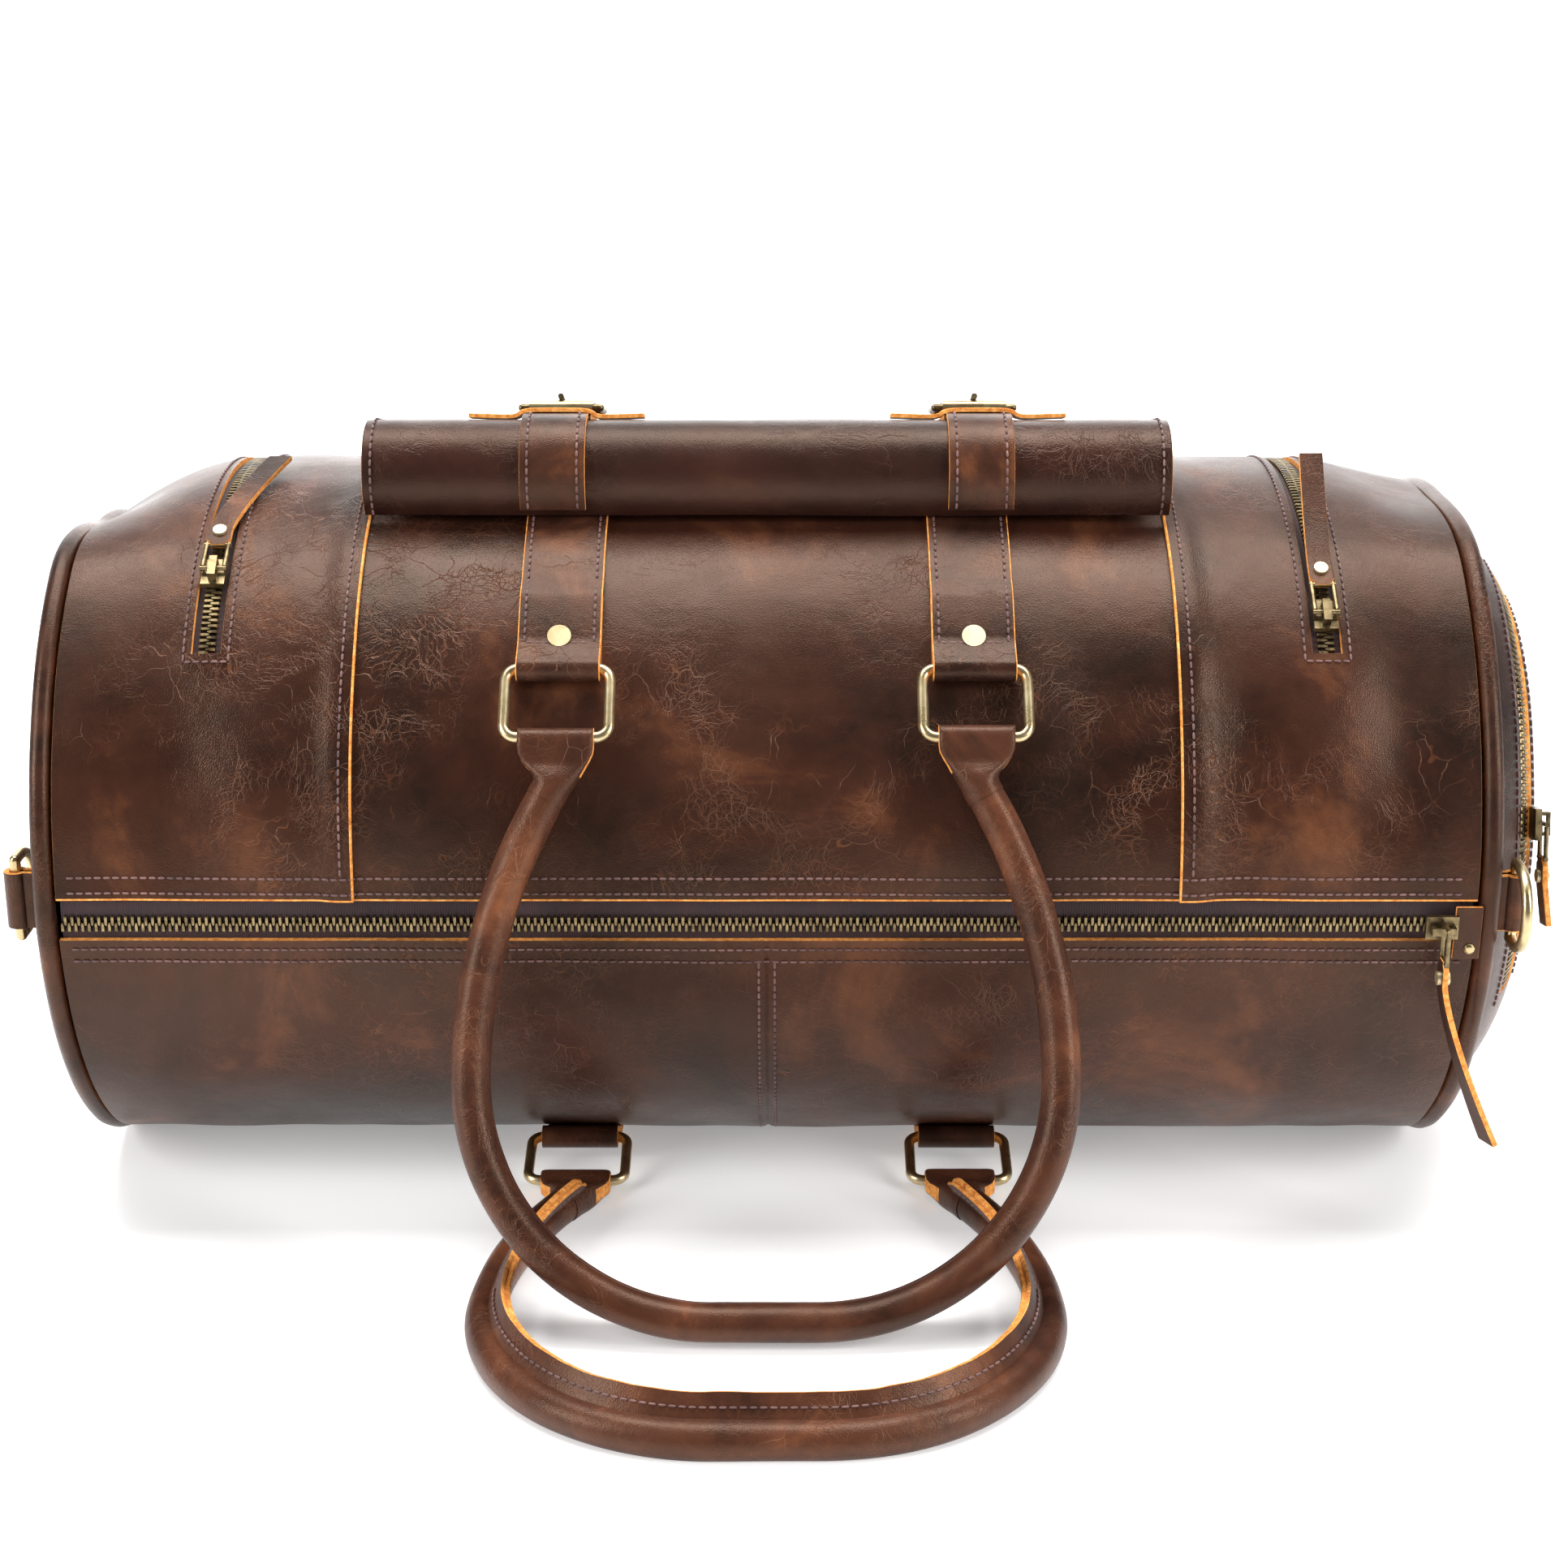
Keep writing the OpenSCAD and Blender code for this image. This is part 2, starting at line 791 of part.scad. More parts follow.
// The leather tube that is rolled around a handle's core.
module rolled_leather(half, reach) {
    handle_u(half, reach) difference() {
        circle(d = handle_d);
        circle(r = core_r);
    }
}

// The folded leather tabs that join a handle to the lower bars of its two rings. The lower edge
// of each tab is square to the handle's leg.
module handle_tabs(half, reach) {
    lean = leg_lean(half, reach);
    neck = [core_r * cos(lean), core_r * sin(lean)];
    for (m = [0, 1]) mirror([m, 0, 0]) translate([ring_x, 0, 0]) difference() {
        union() {
            rod_x(loop_r, tab_w);
            rotate([90, 0, 0]) linear_extrude(2 * loop_r, center = true)
                polygon([[-tab_w / 2, 0], [tab_w / 2, 0], [neck[0], -tab_neck + neck[1]],
                         [-neck[0], -tab_neck - neck[1]]]);
        }
        rod_x(loop_bore, tab_w + 1);
    }
}

module front_handle() {
    color(leather_c) on_bar(0, front_bar, front_handle_slope) rolled_leather(front_handle_half, front_handle_reach);
}

module front_handle_core() {
    color("#8a7a60") on_bar(0, front_bar, front_handle_slope)
        handle_u(front_handle_half, front_handle_reach) circle(r = core_r);
}

module front_handle_tabs() {
    color(leather_c) on_bar(0, front_bar, front_handle_slope)
        handle_tabs(front_handle_half, front_handle_reach);
}

module back_handle() {
    color(leather_c) on_bar(0, back_bar, back_handle_slope) rolled_leather(back_handle_half, back_handle_reach);
}

module back_handle_core() {
    color("#8a7a60") on_bar(0, back_bar, back_handle_slope)
        handle_u(back_handle_half, back_handle_reach) circle(r = core_r);
}

module back_handle_tabs() {
    color(leather_c) on_bar(0, back_bar, back_handle_slope)
        handle_tabs(back_handle_half, back_handle_reach);
}

// ---- shoulder strap rings ----

d_bar = 30;
d_depth = 22;
d_tab_w = 22;
d_root = piping_d + 0.6;
d_front = 4;
right_ring_turn = 178;
d_left = [half_l + 16.5, -127];
d_right = [half_l + 15, -130];

module d_tab(place, back) {
    translate([0, 0, axis_z]) difference() {
        union() {
            translate([place[0], place[1], 0]) cylinder(r = loop_r, h = d_tab_w, center = true);
            translate([half_l + d_root, place[1] - d_front, -d_tab_w / 2])
                cube([place[0] - half_l - d_root, d_front + back, d_tab_w]);
        }
        translate([place[0], place[1], 0]) cylinder(r = loop_bore, h = 2 * d_tab_w, center = true);
    }
}

module d_ring_tab_left() {
    color(leather_c) mirror([1, 0, 0]) d_tab(d_left, 2);
}

module d_ring_tab_right() {
    color(leather_c) d_tab(d_right, 0.5);
}

// A D of wire with its straight bar along Z, reaching out along +Y.
module d_ring() {
    bow = d_bar / 2;
    straight = d_depth - bow;
    cylinder(d = wire_d, h = d_bar, center = true);
    for (s = [-1, 1]) {
        translate([0, 0, s * bow]) sphere(d = wire_d);
        translate([0, 0, s * bow]) rotate([-90, 0, 0]) cylinder(d = wire_d, h = straight);
    }
    translate([0, straight, 0]) rotate([0, 90, 0]) rotate_extrude(angle = 180)
        translate([bow, 0]) circle(d = wire_d);
}

module d_ring_left() {
    color(brass_c) translate([-d_left[0], d_left[1], axis_z]) d_ring();
}

module d_ring_right() {
    color(brass_c) translate([d_right[0], d_right[1], axis_z]) rotate([0, 0, right_ring_turn]) d_ring();
}

front_panel_left();
front_panel_centre();
front_panel_right();
base_panel();
back_panel_left();
back_panel_right();
end_panel_left();
end_panel_right();
piping_left();
piping_right();
lining();
main_zip_tape();
main_zip_teeth();
zip_end_tab();
side_zip_tapes();
side_zip_teeth();
end_zip_tape();
end_zip_teeth();
main_slider();
main_pull_wire();
main_pull_leather();
main_pull_rivet();
left_slider();
left_pull_wire();
left_pull_leather();
left_pull_rivet();
right_slider();
right_pull_wire();
right_pull_leather();
right_pull_rivet();
end_slider();
end_pull_wire();
end_pull_leather();
end_pull_rivet();
pocket_body();
pocket_flap();
buckle_straps();
strap_keepers();
buckle_frames();
buckle_prong_left();
buckle_prong_right();
buckle_roller_left();
buckle_roller_right();
handle_straps_front();
handle_straps_back();
strap_rivets();
front_rings();
back_rings();
front_handle();
front_handle_core();
front_handle_tabs();
back_handle();
back_handle_core();
back_handle_tabs();
d_ring_tab_left();
d_ring_tab_right();
d_ring_left();
d_ring_right();
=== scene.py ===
"""Looks of a leather barrel duffel bag that lies on its back panel with its main zip to the front."""

import json
import math

import bmesh
import bpy
from mathutils import Matrix, Vector, noise


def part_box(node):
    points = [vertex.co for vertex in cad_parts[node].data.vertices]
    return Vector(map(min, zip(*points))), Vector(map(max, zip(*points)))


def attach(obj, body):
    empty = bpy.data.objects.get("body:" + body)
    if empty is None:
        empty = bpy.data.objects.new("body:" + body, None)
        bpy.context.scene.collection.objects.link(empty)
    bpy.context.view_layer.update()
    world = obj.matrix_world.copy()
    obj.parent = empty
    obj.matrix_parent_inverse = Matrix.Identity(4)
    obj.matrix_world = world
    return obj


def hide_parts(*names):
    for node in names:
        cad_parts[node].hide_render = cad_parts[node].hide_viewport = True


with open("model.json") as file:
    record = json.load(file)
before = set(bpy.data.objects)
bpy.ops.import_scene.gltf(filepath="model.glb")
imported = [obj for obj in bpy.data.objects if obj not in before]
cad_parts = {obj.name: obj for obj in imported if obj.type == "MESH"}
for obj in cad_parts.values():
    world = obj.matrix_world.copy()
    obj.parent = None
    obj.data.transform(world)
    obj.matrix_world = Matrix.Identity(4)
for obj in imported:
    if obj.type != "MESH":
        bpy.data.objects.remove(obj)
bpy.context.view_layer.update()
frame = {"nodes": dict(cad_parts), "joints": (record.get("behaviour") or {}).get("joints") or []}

# ---- driving sizes, read from the frame, in metres ----

MM = 0.001
JOINTS = {j["name"]: j for j in frame["joints"]}


def centre(node):
    """Middle of a CAD node's box."""
    low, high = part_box(node)
    return (low + high) / 2


def joint_at(name):
    """Where a joint turns or slides."""
    return Vector(JOINTS[name]["pos_m"])


# The barrel. Angles run around its axis, from 0 at the front to 90 at the top, in degrees.
LEFT_LOW, LEFT_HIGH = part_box("front_panel_left")
BAG_R = -LEFT_LOW.y
HALF = -LEFT_LOW.x
AXIS = LEFT_HIGH.z - BAG_R
SEAM_X = -LEFT_HIGH.x
PANEL_END = HALF - 1 * MM
BASE_FROM = 150
BASE_TO = 205
BACK_FROM = BASE_TO - 360

# Leather and the work on its edges.
LEATHER = 2.4 * MM
STRAP = 2.2 * MM
BEVEL = 0.25 * MM
STITCH = 3.4 * MM  # length of a stitch
SEW_GAP = 3 * MM  # from an opening to its stitches, along the bag
SEW_TURN = 1.4  # the same around the barrel
EDGE_W = 0.4 * MM  # rubbed strip along a cut edge
LAP = 1.9 * MM  # rise of an outer front panel over the middle one
LAP_SEW = 4.6 * MM  # from the lapped edge to its stitches
SKIVED = 0.7 * MM  # thickness shaved off under a lap
BUTT_W = 1.5 * MM  # half width of the groove where the back panels meet

# The end panels and their piping.
PIPING_R = 4 * MM
END_FACE = HALF + 1 * MM + LEATHER  # outer face of an end panel at its rim
END_RIM = BAG_R - 2 * PIPING_R + 0.8 * MM

# Openings of the zips.
ZIP = math.degrees(math.asin((centre("main_zip_teeth").z - AXIS) / BAG_R))
ZIP_TOP = ZIP + 3.9
ZIP_LOW = ZIP - 2.6
SIDE_X = centre("right_slider").x
WINDOW = 5.5 * MM  # half width of an opening
WINDOW_FROM = 40
WINDOW_TO = 122
END_LOW = 25
END_HIGH = 70
END_ZIP_R = 110 * MM
SUNK = 1.5 * MM  # depth of the teeth below the leather

# Rings, straps and handles.
RING_W = 43 * MM  # outer width of a ring
RING_X = (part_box("front_rings")[1].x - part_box("front_rings")[0].x - RING_W) / 2
BAR_R = 2.4 * MM  # inside radius of leather around a bar
STRAP_HALF = 15.5 * MM
STRAP_SEW = STRAP_HALF - 2.6 * MM  # from a strap's middle to its stitches
TUBE_R = 7 * MM
TAB_HALF = 14 * MM

# The front pocket.
POCKET_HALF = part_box("pocket_flap")[1].x
BUCKLE_X = centre("buckle_roller_right").x
BUCKLE_HALF = 12.5 * MM

ALONG = Vector((1, 0, 0))


def rgb(r, g, b):
    """A colour in eight-bit sRGB as linear RGBA."""
    def linear(c):
        c /= 255
        return c / 12.92 if c < 0.04045 else ((c + 0.055) / 1.055) ** 2.4
    return (linear(r), linear(g), linear(b), 1)


def smooth(t):
    """Eases from 0 to 1 as t does."""
    t = min(max(t, 0), 1)
    return t * t * (3 - 2 * t)


def hump(value, middle, width):
    """A bell curve of height 1."""
    return math.exp(-(((value - middle) / width) ** 2))


def mix(a, b, t):
    return a + (b - a) * t


def spread(low, high, step):
    count = max(2, math.ceil(abs(high - low) / step))
    return [mix(low, high, i / count) for i in range(count + 1)]


def spread_through(marks, step):
    """Values from the first mark to the last that pass through every mark."""
    values = [marks[0]]
    for low, high in zip(marks, marks[1:]):
        values += spread(low, high, step)[1:]
    return values


# ---- the sagging surface of the bag ----

# Soft dents and swellings: place along the bag, angle, half length, half angle and height of each.
DENTS = [
    (-0.222, 30, 0.020, 16, -2.6 * MM),
    (-0.190, 18, 0.014, 10, 1.4 * MM),
    (-0.245, 8, 0.020, 12, -1.6 * MM),
    (0.178, 25, 0.010, 26, -2.4 * MM),
    (0.205, 20, 0.012, 20, 1.2 * MM),
    (0.236, 30, 0.014, 18, -2.8 * MM),
    (0.250, 86, 0.016, 14, -4.0 * MM),
    (0.120, 16, 0.016, 18, -1.0 * MM),
    (-0.060, 14, 0.030, 10, -0.8 * MM),
    (0.030, 40, 0.030, 14, -0.9 * MM),
    (-0.120, -34, 0.060, 12, -1.2 * MM),
    (0.190, -30, 0.050, 12, -1.4 * MM),
]


def slump(x, a):
    """How far the unsupported shoulders of the bag sink near its ends."""
    depth = 23 * MM if x < 0 else 9 * MM
    reach = 55 * MM
    along = min(max(abs(x) - (HALF - reach), 0) / reach, 1.1)
    return depth * along ** 1.6 * smooth((a - 56) / 32) * smooth((156 - a) / 26)


def calm(x, a):
    """Share of the creasing that is left beside zips, straps and the pocket."""
    strap = hump(abs(x), RING_X, 20 * MM) * smooth((a - 30) / 4) * smooth((80 - a) / 4)
    pocket = smooth((168 * MM - abs(x)) / (12 * MM)) * smooth((a - 70) / 6) * smooth((140 - a) / 6)
    side = hump(abs(x), SIDE_X, 12 * MM) * smooth((a - 36) / 4) * smooth((126 - a) / 4)
    return (1 - hump(a, ZIP, 5)) * (1 - strap) * (1 - pocket) * (1 - 0.9 * side)


def relief(x, a):
    """Height of the sagging surface over the plain barrel."""
    a = (a + 180) % 360 - 180
    rise = sum(h * hump(x, dx, lx) * hump(a, da, la) for dx, da, lx, la, h in DENTS)
    arc = math.radians(a) * BAG_R
    rise += 1.3 * MM * noise.noise(Vector((x * 14, arc * 16, 1.7)))
    rise += 0.5 * MM * noise.noise(Vector((x * 42, arc * 30, 5.2)))
    groove = 0.9 * MM * hump(x, 0, 0.7 * BUTT_W) * smooth((ZIP_LOW - a) / 2) * smooth((a - BACK_FROM) / 2)
    return rise * calm(x, a) - slump(x, a) - groove


def skin(x, a, lift=0.0):
    """A point above the bag's outer surface by lift, at x along the bag and a degrees around it."""
    r = BAG_R + relief(x, a) + lift
    z = AXIS + r * math.sin(math.radians(a))
    return Vector((x, -r * math.cos(math.radians(a)), max(z, -lift, 0)))


def polar(x, a, r):
    """A point at a radius r from the barrel's axis."""
    return Vector((x, -r * math.cos(math.radians(a)), AXIS + r * math.sin(math.radians(a))))


# ---- mesh builders ----


def solid(name, verts, faces, kinds, materials, body, nodes=(), slot=None, bevel=0.0, sharp=40):
    """A mesh piece that rides on a body. kinds gives the material of each face."""
    used = sorted({k for f in faces for k in f})
    place = {k: i for i, k in enumerate(used)}
    mesh = bpy.data.meshes.new(name)
    mesh.from_pydata([verts[k] for k in used], [], [[place[k] for k in f] for f in faces])
    for material in materials:
        mesh.materials.append(material)
    mesh.polygons.foreach_set("material_index", kinds)
    mesh.polygons.foreach_set("use_smooth", [True] * len(faces))
    edit = bmesh.new()
    edit.from_mesh(mesh)
    bmesh.ops.recalc_face_normals(edit, faces=edit.faces)
    edit.to_mesh(mesh)
    edit.free()
    mesh.set_sharp_from_angle(angle=math.radians(sharp))
    piece = bpy.data.objects.new(name, mesh)
    bpy.context.scene.collection.objects.link(piece)
    if bevel:
        rounding = piece.modifiers.new("rounding", "BEVEL")
        rounding.width = bevel
        rounding.segments = 2
        rounding.angle_limit = math.radians(50)
    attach(piece, body)
    if nodes:
        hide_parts(*nodes)
    return piece


def shell(name, outer, inner, materials, body, keep=None, wrap=False, trim=None, **more):
    """A sheet with thickness between two grids of points. Its rim takes the second material, and so
    do the outer faces for which trim(i, j) is true."""
    rows, cols = len(outer), len(outer[0])
    count = rows * cols
    verts = [p for row in outer for p in row] + [p for row in inner for p in row]
    faces, kinds, rim = [], [], {}
    for i in range(rows - 1):
        for j in range(cols if wrap else cols - 1):
            if keep and not keep(i, j):
                continue
            k = (j + 1) % cols
            quad = (i * cols + j, i * cols + k, (i + 1) * cols + k, (i + 1) * cols + j)
            faces += [quad, tuple(count + v for v in reversed(quad))]
            kinds += [int(bool(trim and trim(i, j))), 0]
            for n in range(4):
                edge = (quad[n], quad[(n + 1) % 4])
                key = frozenset(edge)
                rim[key] = None if key in rim else edge
    for edge in filter(None, rim.values()):
        faces.append((edge[1], edge[0], count + edge[0], count + edge[1]))
        kinds.append(1)
    return solid(name, verts, faces, kinds, materials, body, **more)


def loft(name, rings, materials, body, kind=None, closed=False, **more):
    """A skin over closed rings of points. kind(i, j) picks the material of a face."""
    cols = len(rings[0])
    verts = [p for ring in rings for p in ring]
    faces, kinds = [], []
    for i in range(len(rings) if closed else len(rings) - 1):
        n = (i + 1) % len(rings)
        for j in range(cols):
            k = (j + 1) % cols
            faces.append((i * cols + j, i * cols + k, n * cols + k, n * cols + j))
            kinds.append(kind(i, j) if kind else 0)
    if not closed:
        last = (len(rings) - 1) * cols
        faces += [tuple(range(cols)), tuple(last + j for j in reversed(range(cols)))]
        kinds += [0, 0]
    return solid(name, verts, faces, kinds, materials, body, **more)


def joined(name, pieces):
    """Several pieces as one leather piece, in place of the CAD node of the same name."""
    with bpy.context.temp_override(active_object=pieces[0], selected_editable_objects=pieces):
        bpy.ops.object.join()
    piece = pieces[0]
    piece.name = name
    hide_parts(name)


def tangents(line):
    """Direction of a line at each of its points."""
    ends = zip([line[0], *line[:-1]], [*line[1:], line[-1]])
    return [(b - a).normalized() for a, b in ends]


def ribbon(name, line, across, half, thick, materials, body, **more):
    """A strap along a line of points. half is its half width, or gives it at each step."""
    wide = half if callable(half) else lambda i: half
    side = across if callable(across) else lambda i: across
    outer, inner = [], []
    for i, (point, tangent) in enumerate(zip(line, tangents(line))):
        out = tangent.cross(side(i)).normalized() * thick / 2
        rubbed = 1 - EDGE_W / wide(i)
        steps = [-1, *[mix(-rubbed, rubbed, k / 6) for k in range(7)], 1]
        outer.append([point + side(i) * wide(i) * s + out for s in steps])
        inner.append([point + side(i) * wide(i) * s - out for s in steps])
    return shell(name, outer, inner, materials, body, bevel=BEVEL,
                 trim=lambda i, j: j in (0, len(steps) - 2), **more)


def even(line, step):
    """A line of points as evenly spaced points."""
    made, left = [line[0]], step
    for a, b in zip(line, line[1:]):
        length = (b - a).length
        while length > left:
            made.append(a.lerp(b, left / length))
            left += step
        left -= length
    return made


def softened(line, times=2):
    """A line with its corners cut."""
    for _ in range(times):
        cut = [line[0]]
        for a, b in zip(line, line[1:]):
            cut += [a.lerp(b, 0.25), a.lerp(b, 0.75)]
        line = cut + [line[-1]]
    return line


THREADS = {}


def stitch(body, line, outward):
    """A row of stitches along a line. outward is a direction, or gives it at a point."""
    way = outward if callable(outward) else lambda p: outward
    points = even(line, STITCH)
    for a, b in zip(points, points[1:]):
        THREADS.setdefault(body, []).append(((a + b) / 2, (b - a).normalized(), way((a + b) / 2)))


def sew(body):
    """Makes one piece of a body's stitches: a short rounded length of thread for each."""
    half_l, half_w, lift, sides = 1.3 * MM, 0.48 * MM, 0.3 * MM, 6
    profile = ((-1, 0.35), (-0.6, 0.95), (0.6, 0.95), (1, 0.35))
    verts, faces = [], []
    for middle, along, out in THREADS[body]:
        side = along.cross(out).normalized()
        up = side.cross(along)
        first = len(verts)
        last = first + sides * (len(profile) - 1)
        for t, r in profile:
            for k in range(sides):
                turn = math.tau * k / sides
                ring = side * math.cos(turn) + up * math.sin(turn)
                verts.append(middle + along * half_l * t + ring * half_w * r + up * lift)
        for low in range(first, last, sides):
            for k in range(sides):
                n = (k + 1) % sides
                faces.append([low + k, low + n, low + sides + n, low + sides + k])
        faces.append([first + k for k in range(sides)])
        faces.append([last + k for k in reversed(range(sides))])
    return solid(f"stitches_{body}", verts, faces, [0] * len(faces), [THREAD], body, slot="thread", sharp=80)


# ---- materials ----


class Nodes:
    """A material's node tree with short calls for the nodes used here."""

    def __init__(self, name):
        self.material = bpy.data.materials.new(name)
        self.material.use_nodes = True
        self.tree = self.material.node_tree
        self.shader = self.tree.nodes["Principled BSDF"]
        self.place = self.add("ShaderNodeTexCoord").outputs["Object"]

    def add(self, kind, **inputs):
        node = self.tree.nodes.new(kind)
        for key, value in inputs.items():
            self.feed(node.inputs[key.replace("_", " ")], value)
        return node

    def feed(self, socket, value):
        if isinstance(value, bpy.types.NodeSocket):
            self.tree.links.new(value, socket)
        else:
            socket.default_value = value

    def noise(self, scale, detail=4.0, rough=0.55, distort=0.0, place=None):
        node = self.add("ShaderNodeTexNoise", Vector=place or self.place, Scale=scale, Detail=detail,
                        Roughness=rough, Distortion=distort)
        return node.outputs["Fac"]

    def cells(self, scale, place=None, feature="DISTANCE_TO_EDGE"):
        node = self.add("ShaderNodeTexVoronoi", Vector=place or self.place, Scale=scale)
        node.feature = feature
        return node.outputs["Distance"]

    def ramp(self, fac, *stops):
        node = self.add("ShaderNodeValToRGB", Fac=fac)
        elements = node.color_ramp.elements
        while len(elements) < len(stops):
            elements.new(0.5)
        for element, (place, colour) in zip(elements, stops):
            element.position = place
            element.color = colour if not isinstance(colour, (int, float)) else (colour,) * 3 + (1,)
        return node.outputs["Color"]

    def math(self, operation, a, b=0.0):
        node = self.add("ShaderNodeMath")
        node.operation = operation
        self.feed(node.inputs[0], a)
        self.feed(node.inputs[1], b)
        return node.outputs[0]

    def blend(self, fac, a, b):
        node = self.add("ShaderNodeMix")
        node.data_type = "RGBA"
        self.feed(node.inputs["Factor"], fac)
        self.feed(node.inputs[6], a)
        self.feed(node.inputs[7], b)
        return node.outputs[2]

    def bump(self, *layers):
        """Bump from (height, depth) layers, one over the other."""
        normal = None
        for height, depth in layers:
            node = self.add("ShaderNodeBump", Height=height, Distance=depth)
            if normal:
                self.feed(node.inputs["Normal"], normal)
            normal = node.outputs["Normal"]
        self.feed(self.shader.inputs["Normal"], normal)

    def set(self, **inputs):
        for key, value in inputs.items():
            self.feed(self.shader.inputs[key.replace("_", " ")], value)
        return self.material


def leather(name, dark, middle, light, shift, scale=8.5):
    """Waxed pull-up leather: mottled, rubbed lighter in patches and along fine creases. shift moves the
    pattern, and scale sets how fine the mottling is."""
    n = Nodes(name)
    moved = n.add("ShaderNodeVectorMath", Vector=n.place)
    moved.operation = "ADD"
    moved.inputs[1].default_value = (shift, shift / 2, shift / 3)
    place = moved.outputs[0]
    warp = n.add("ShaderNodeTexNoise", Vector=place, Scale=30, Detail=3)
    bent = n.add("ShaderNodeMix")
    bent.data_type = "VECTOR"
    bent.inputs["Factor"].default_value = 0.035
    n.feed(bent.inputs[4], place)
    n.feed(bent.inputs[5], warp.outputs["Color"])
    bent = bent.outputs[1]
    cloud = n.noise(scale, 7, 0.62, 0.6, place)
    speck = n.noise(70, 5, 0.7, 0.3, place)
    base = n.ramp(n.math("ADD", cloud, n.math("MULTIPLY", speck, 0.12)),
                  (0.44, dark), (0.64, middle), (0.86, light))
    crease = n.ramp(n.cells(70, bent), (0.0, 1), (0.014, 0))
    fine = n.ramp(n.cells(190, bent), (0.0, 1), (0.035, 0))
    hair = n.ramp(n.cells(420, bent), (0.0, 1), (0.06, 0))
    patch = n.ramp(n.noise(11, 4, 0.6, 0.4, place), (0.42, 0), (0.62, 1))
    mesh_lines = n.math("MAXIMUM", n.math("MULTIPLY", fine, 0.75), n.math("MULTIPLY", hair, 0.45))
    thin = n.math("MULTIPLY", mesh_lines, n.ramp(n.noise(38, 3, 0.6, 0.5, place), (0.40, 0), (0.58, 1)))
    broken = n.math("MULTIPLY", crease, n.ramp(n.noise(55, 3, 0.6, 0.5, place), (0.42, 0), (0.62, 1)))
    lines = n.math("MULTIPLY", n.math("MAXIMUM", broken, thin), patch)
    worn = n.blend(n.math("MULTIPLY", lines, 0.55), base, light)
    grain = n.cells(1100, place)
    pores = n.noise(1500, 2, 0.6, 0, place)
    n.bump((n.noise(26, 4, 0.5, 0.3, place), 0.9 * MM), (n.math("MULTIPLY", lines, -1.0), 0.16 * MM),
           (grain, 0.10 * MM), (pores, 0.05 * MM))
    rough = n.ramp(n.noise(20, 5, 0.6, 0.2, place), (0.3, 0.26), (0.7, 0.42))
    return n.set(Base_Color=worn, Roughness=rough, Specular_IOR_Level=0.38, Specular_Tint=rgb(255, 214, 186))


def raw_edge():
    """The fibrous cut edge of the leather, in its undyed tan."""
    n = Nodes("raw_edge")
    fibre = n.noise(420, 5, 0.7, 0.5)
    colour = n.ramp(fibre, (0.30, rgb(176, 98, 40)), (0.50, rgb(228, 148, 70)), (0.70, rgb(250, 192, 112)))
    n.bump((fibre, 0.25 * MM))
    return n.set(Base_Color=colour, Roughness=0.85, Specular_IOR_Level=0.25)


def thread():
    """Purple-brown waxed thread."""
    n = Nodes("thread")
    twist = n.noise(2200, 2)
    n.bump((twist, 0.08 * MM))
    colour = n.ramp(n.noise(60), (0.35, rgb(72, 44, 44)), (0.7, rgb(128, 90, 84)))
    return n.set(Base_Color=colour, Roughness=0.55, Sheen_Weight=0.2)


def woven(name, dark, light):
    """A plain woven cloth or tape."""
    n = Nodes(name)
    wave = n.add("ShaderNodeTexWave", Vector=n.place, Scale=520, Distortion=1.5)
    weave = wave.outputs["Fac"]
    n.bump((weave, 0.12 * MM), (n.noise(900), 0.08 * MM))
    colour = n.ramp(n.math("MULTIPLY", weave, n.noise(90)), (0.1, dark), (0.7, light))
    return n.set(Base_Color=colour, Roughness=0.8, Sheen_Weight=0.25)


def metal(name, dark, light, low, high, scale):
    """Brushed and slightly tarnished brass."""
    n = Nodes(name)
    cloud = n.noise(scale, 5, 0.65, 0.4)
    colour = n.ramp(cloud, (0.35, dark), (0.62, light))
    brushed = n.add("ShaderNodeMapping", Vector=n.place)
    brushed.inputs["Scale"].default_value = (300, 4000, 4000)
    streak = n.noise(1, 3, 0.6, 0, brushed.outputs[0])
    n.bump((streak, 0.006 * MM), (n.noise(700, 3), 0.006 * MM))
    rough = n.ramp(n.math("ADD", n.math("MULTIPLY", cloud, 0.6), n.math("MULTIPLY", streak, 0.4)),
                   (0.35, low), (0.65, high))
    return n.set(Base_Color=colour, Metallic=1.0, Roughness=rough)


def floor_paint():
    """White studio paper."""
    n = Nodes("floor")
    colour = n.ramp(n.noise(2), (0.0, 0.90), (1.0, 0.93))
    return n.set(Base_Color=colour, Roughness=0.6, Emission_Color=(1, 1, 1, 1), Emission_Strength=0.30)


HIDE = leather("hide", rgb(26, 14, 11), rgb(56, 30, 21), rgb(120, 72, 44), 0.0)
HIDE_STRAP = leather("strap_hide", rgb(34, 19, 15), rgb(64, 37, 27), rgb(116, 70, 44), 1.3, 24)
HIDE_HANDLE = leather("handle_hide", rgb(48, 27, 20), rgb(80, 46, 32), rgb(128, 78, 50), 2.9, 26)
HIDE_FLAP = leather("flap_hide", rgb(30, 16, 14), rgb(50, 27, 21), rgb(84, 50, 34), 4.1)
EDGE = raw_edge()
THREAD = thread()
TAPE = woven("zip_tape", rgb(30, 14, 18), rgb(66, 34, 38))
CLOTH = woven("lining_cloth", rgb(92, 76, 58), rgb(140, 120, 96))
BRASS = metal("ring_brass", rgb(176, 154, 112), rgb(208, 190, 150), 0.24, 0.36, 60)
ANTIQUE = metal("antique_brass", rgb(84, 72, 52), rgb(152, 134, 98), 0.30, 0.48, 180)
PALE = metal("rivet_brass", rgb(206, 186, 140), rgb(232, 216, 178), 0.40, 0.55, 60)
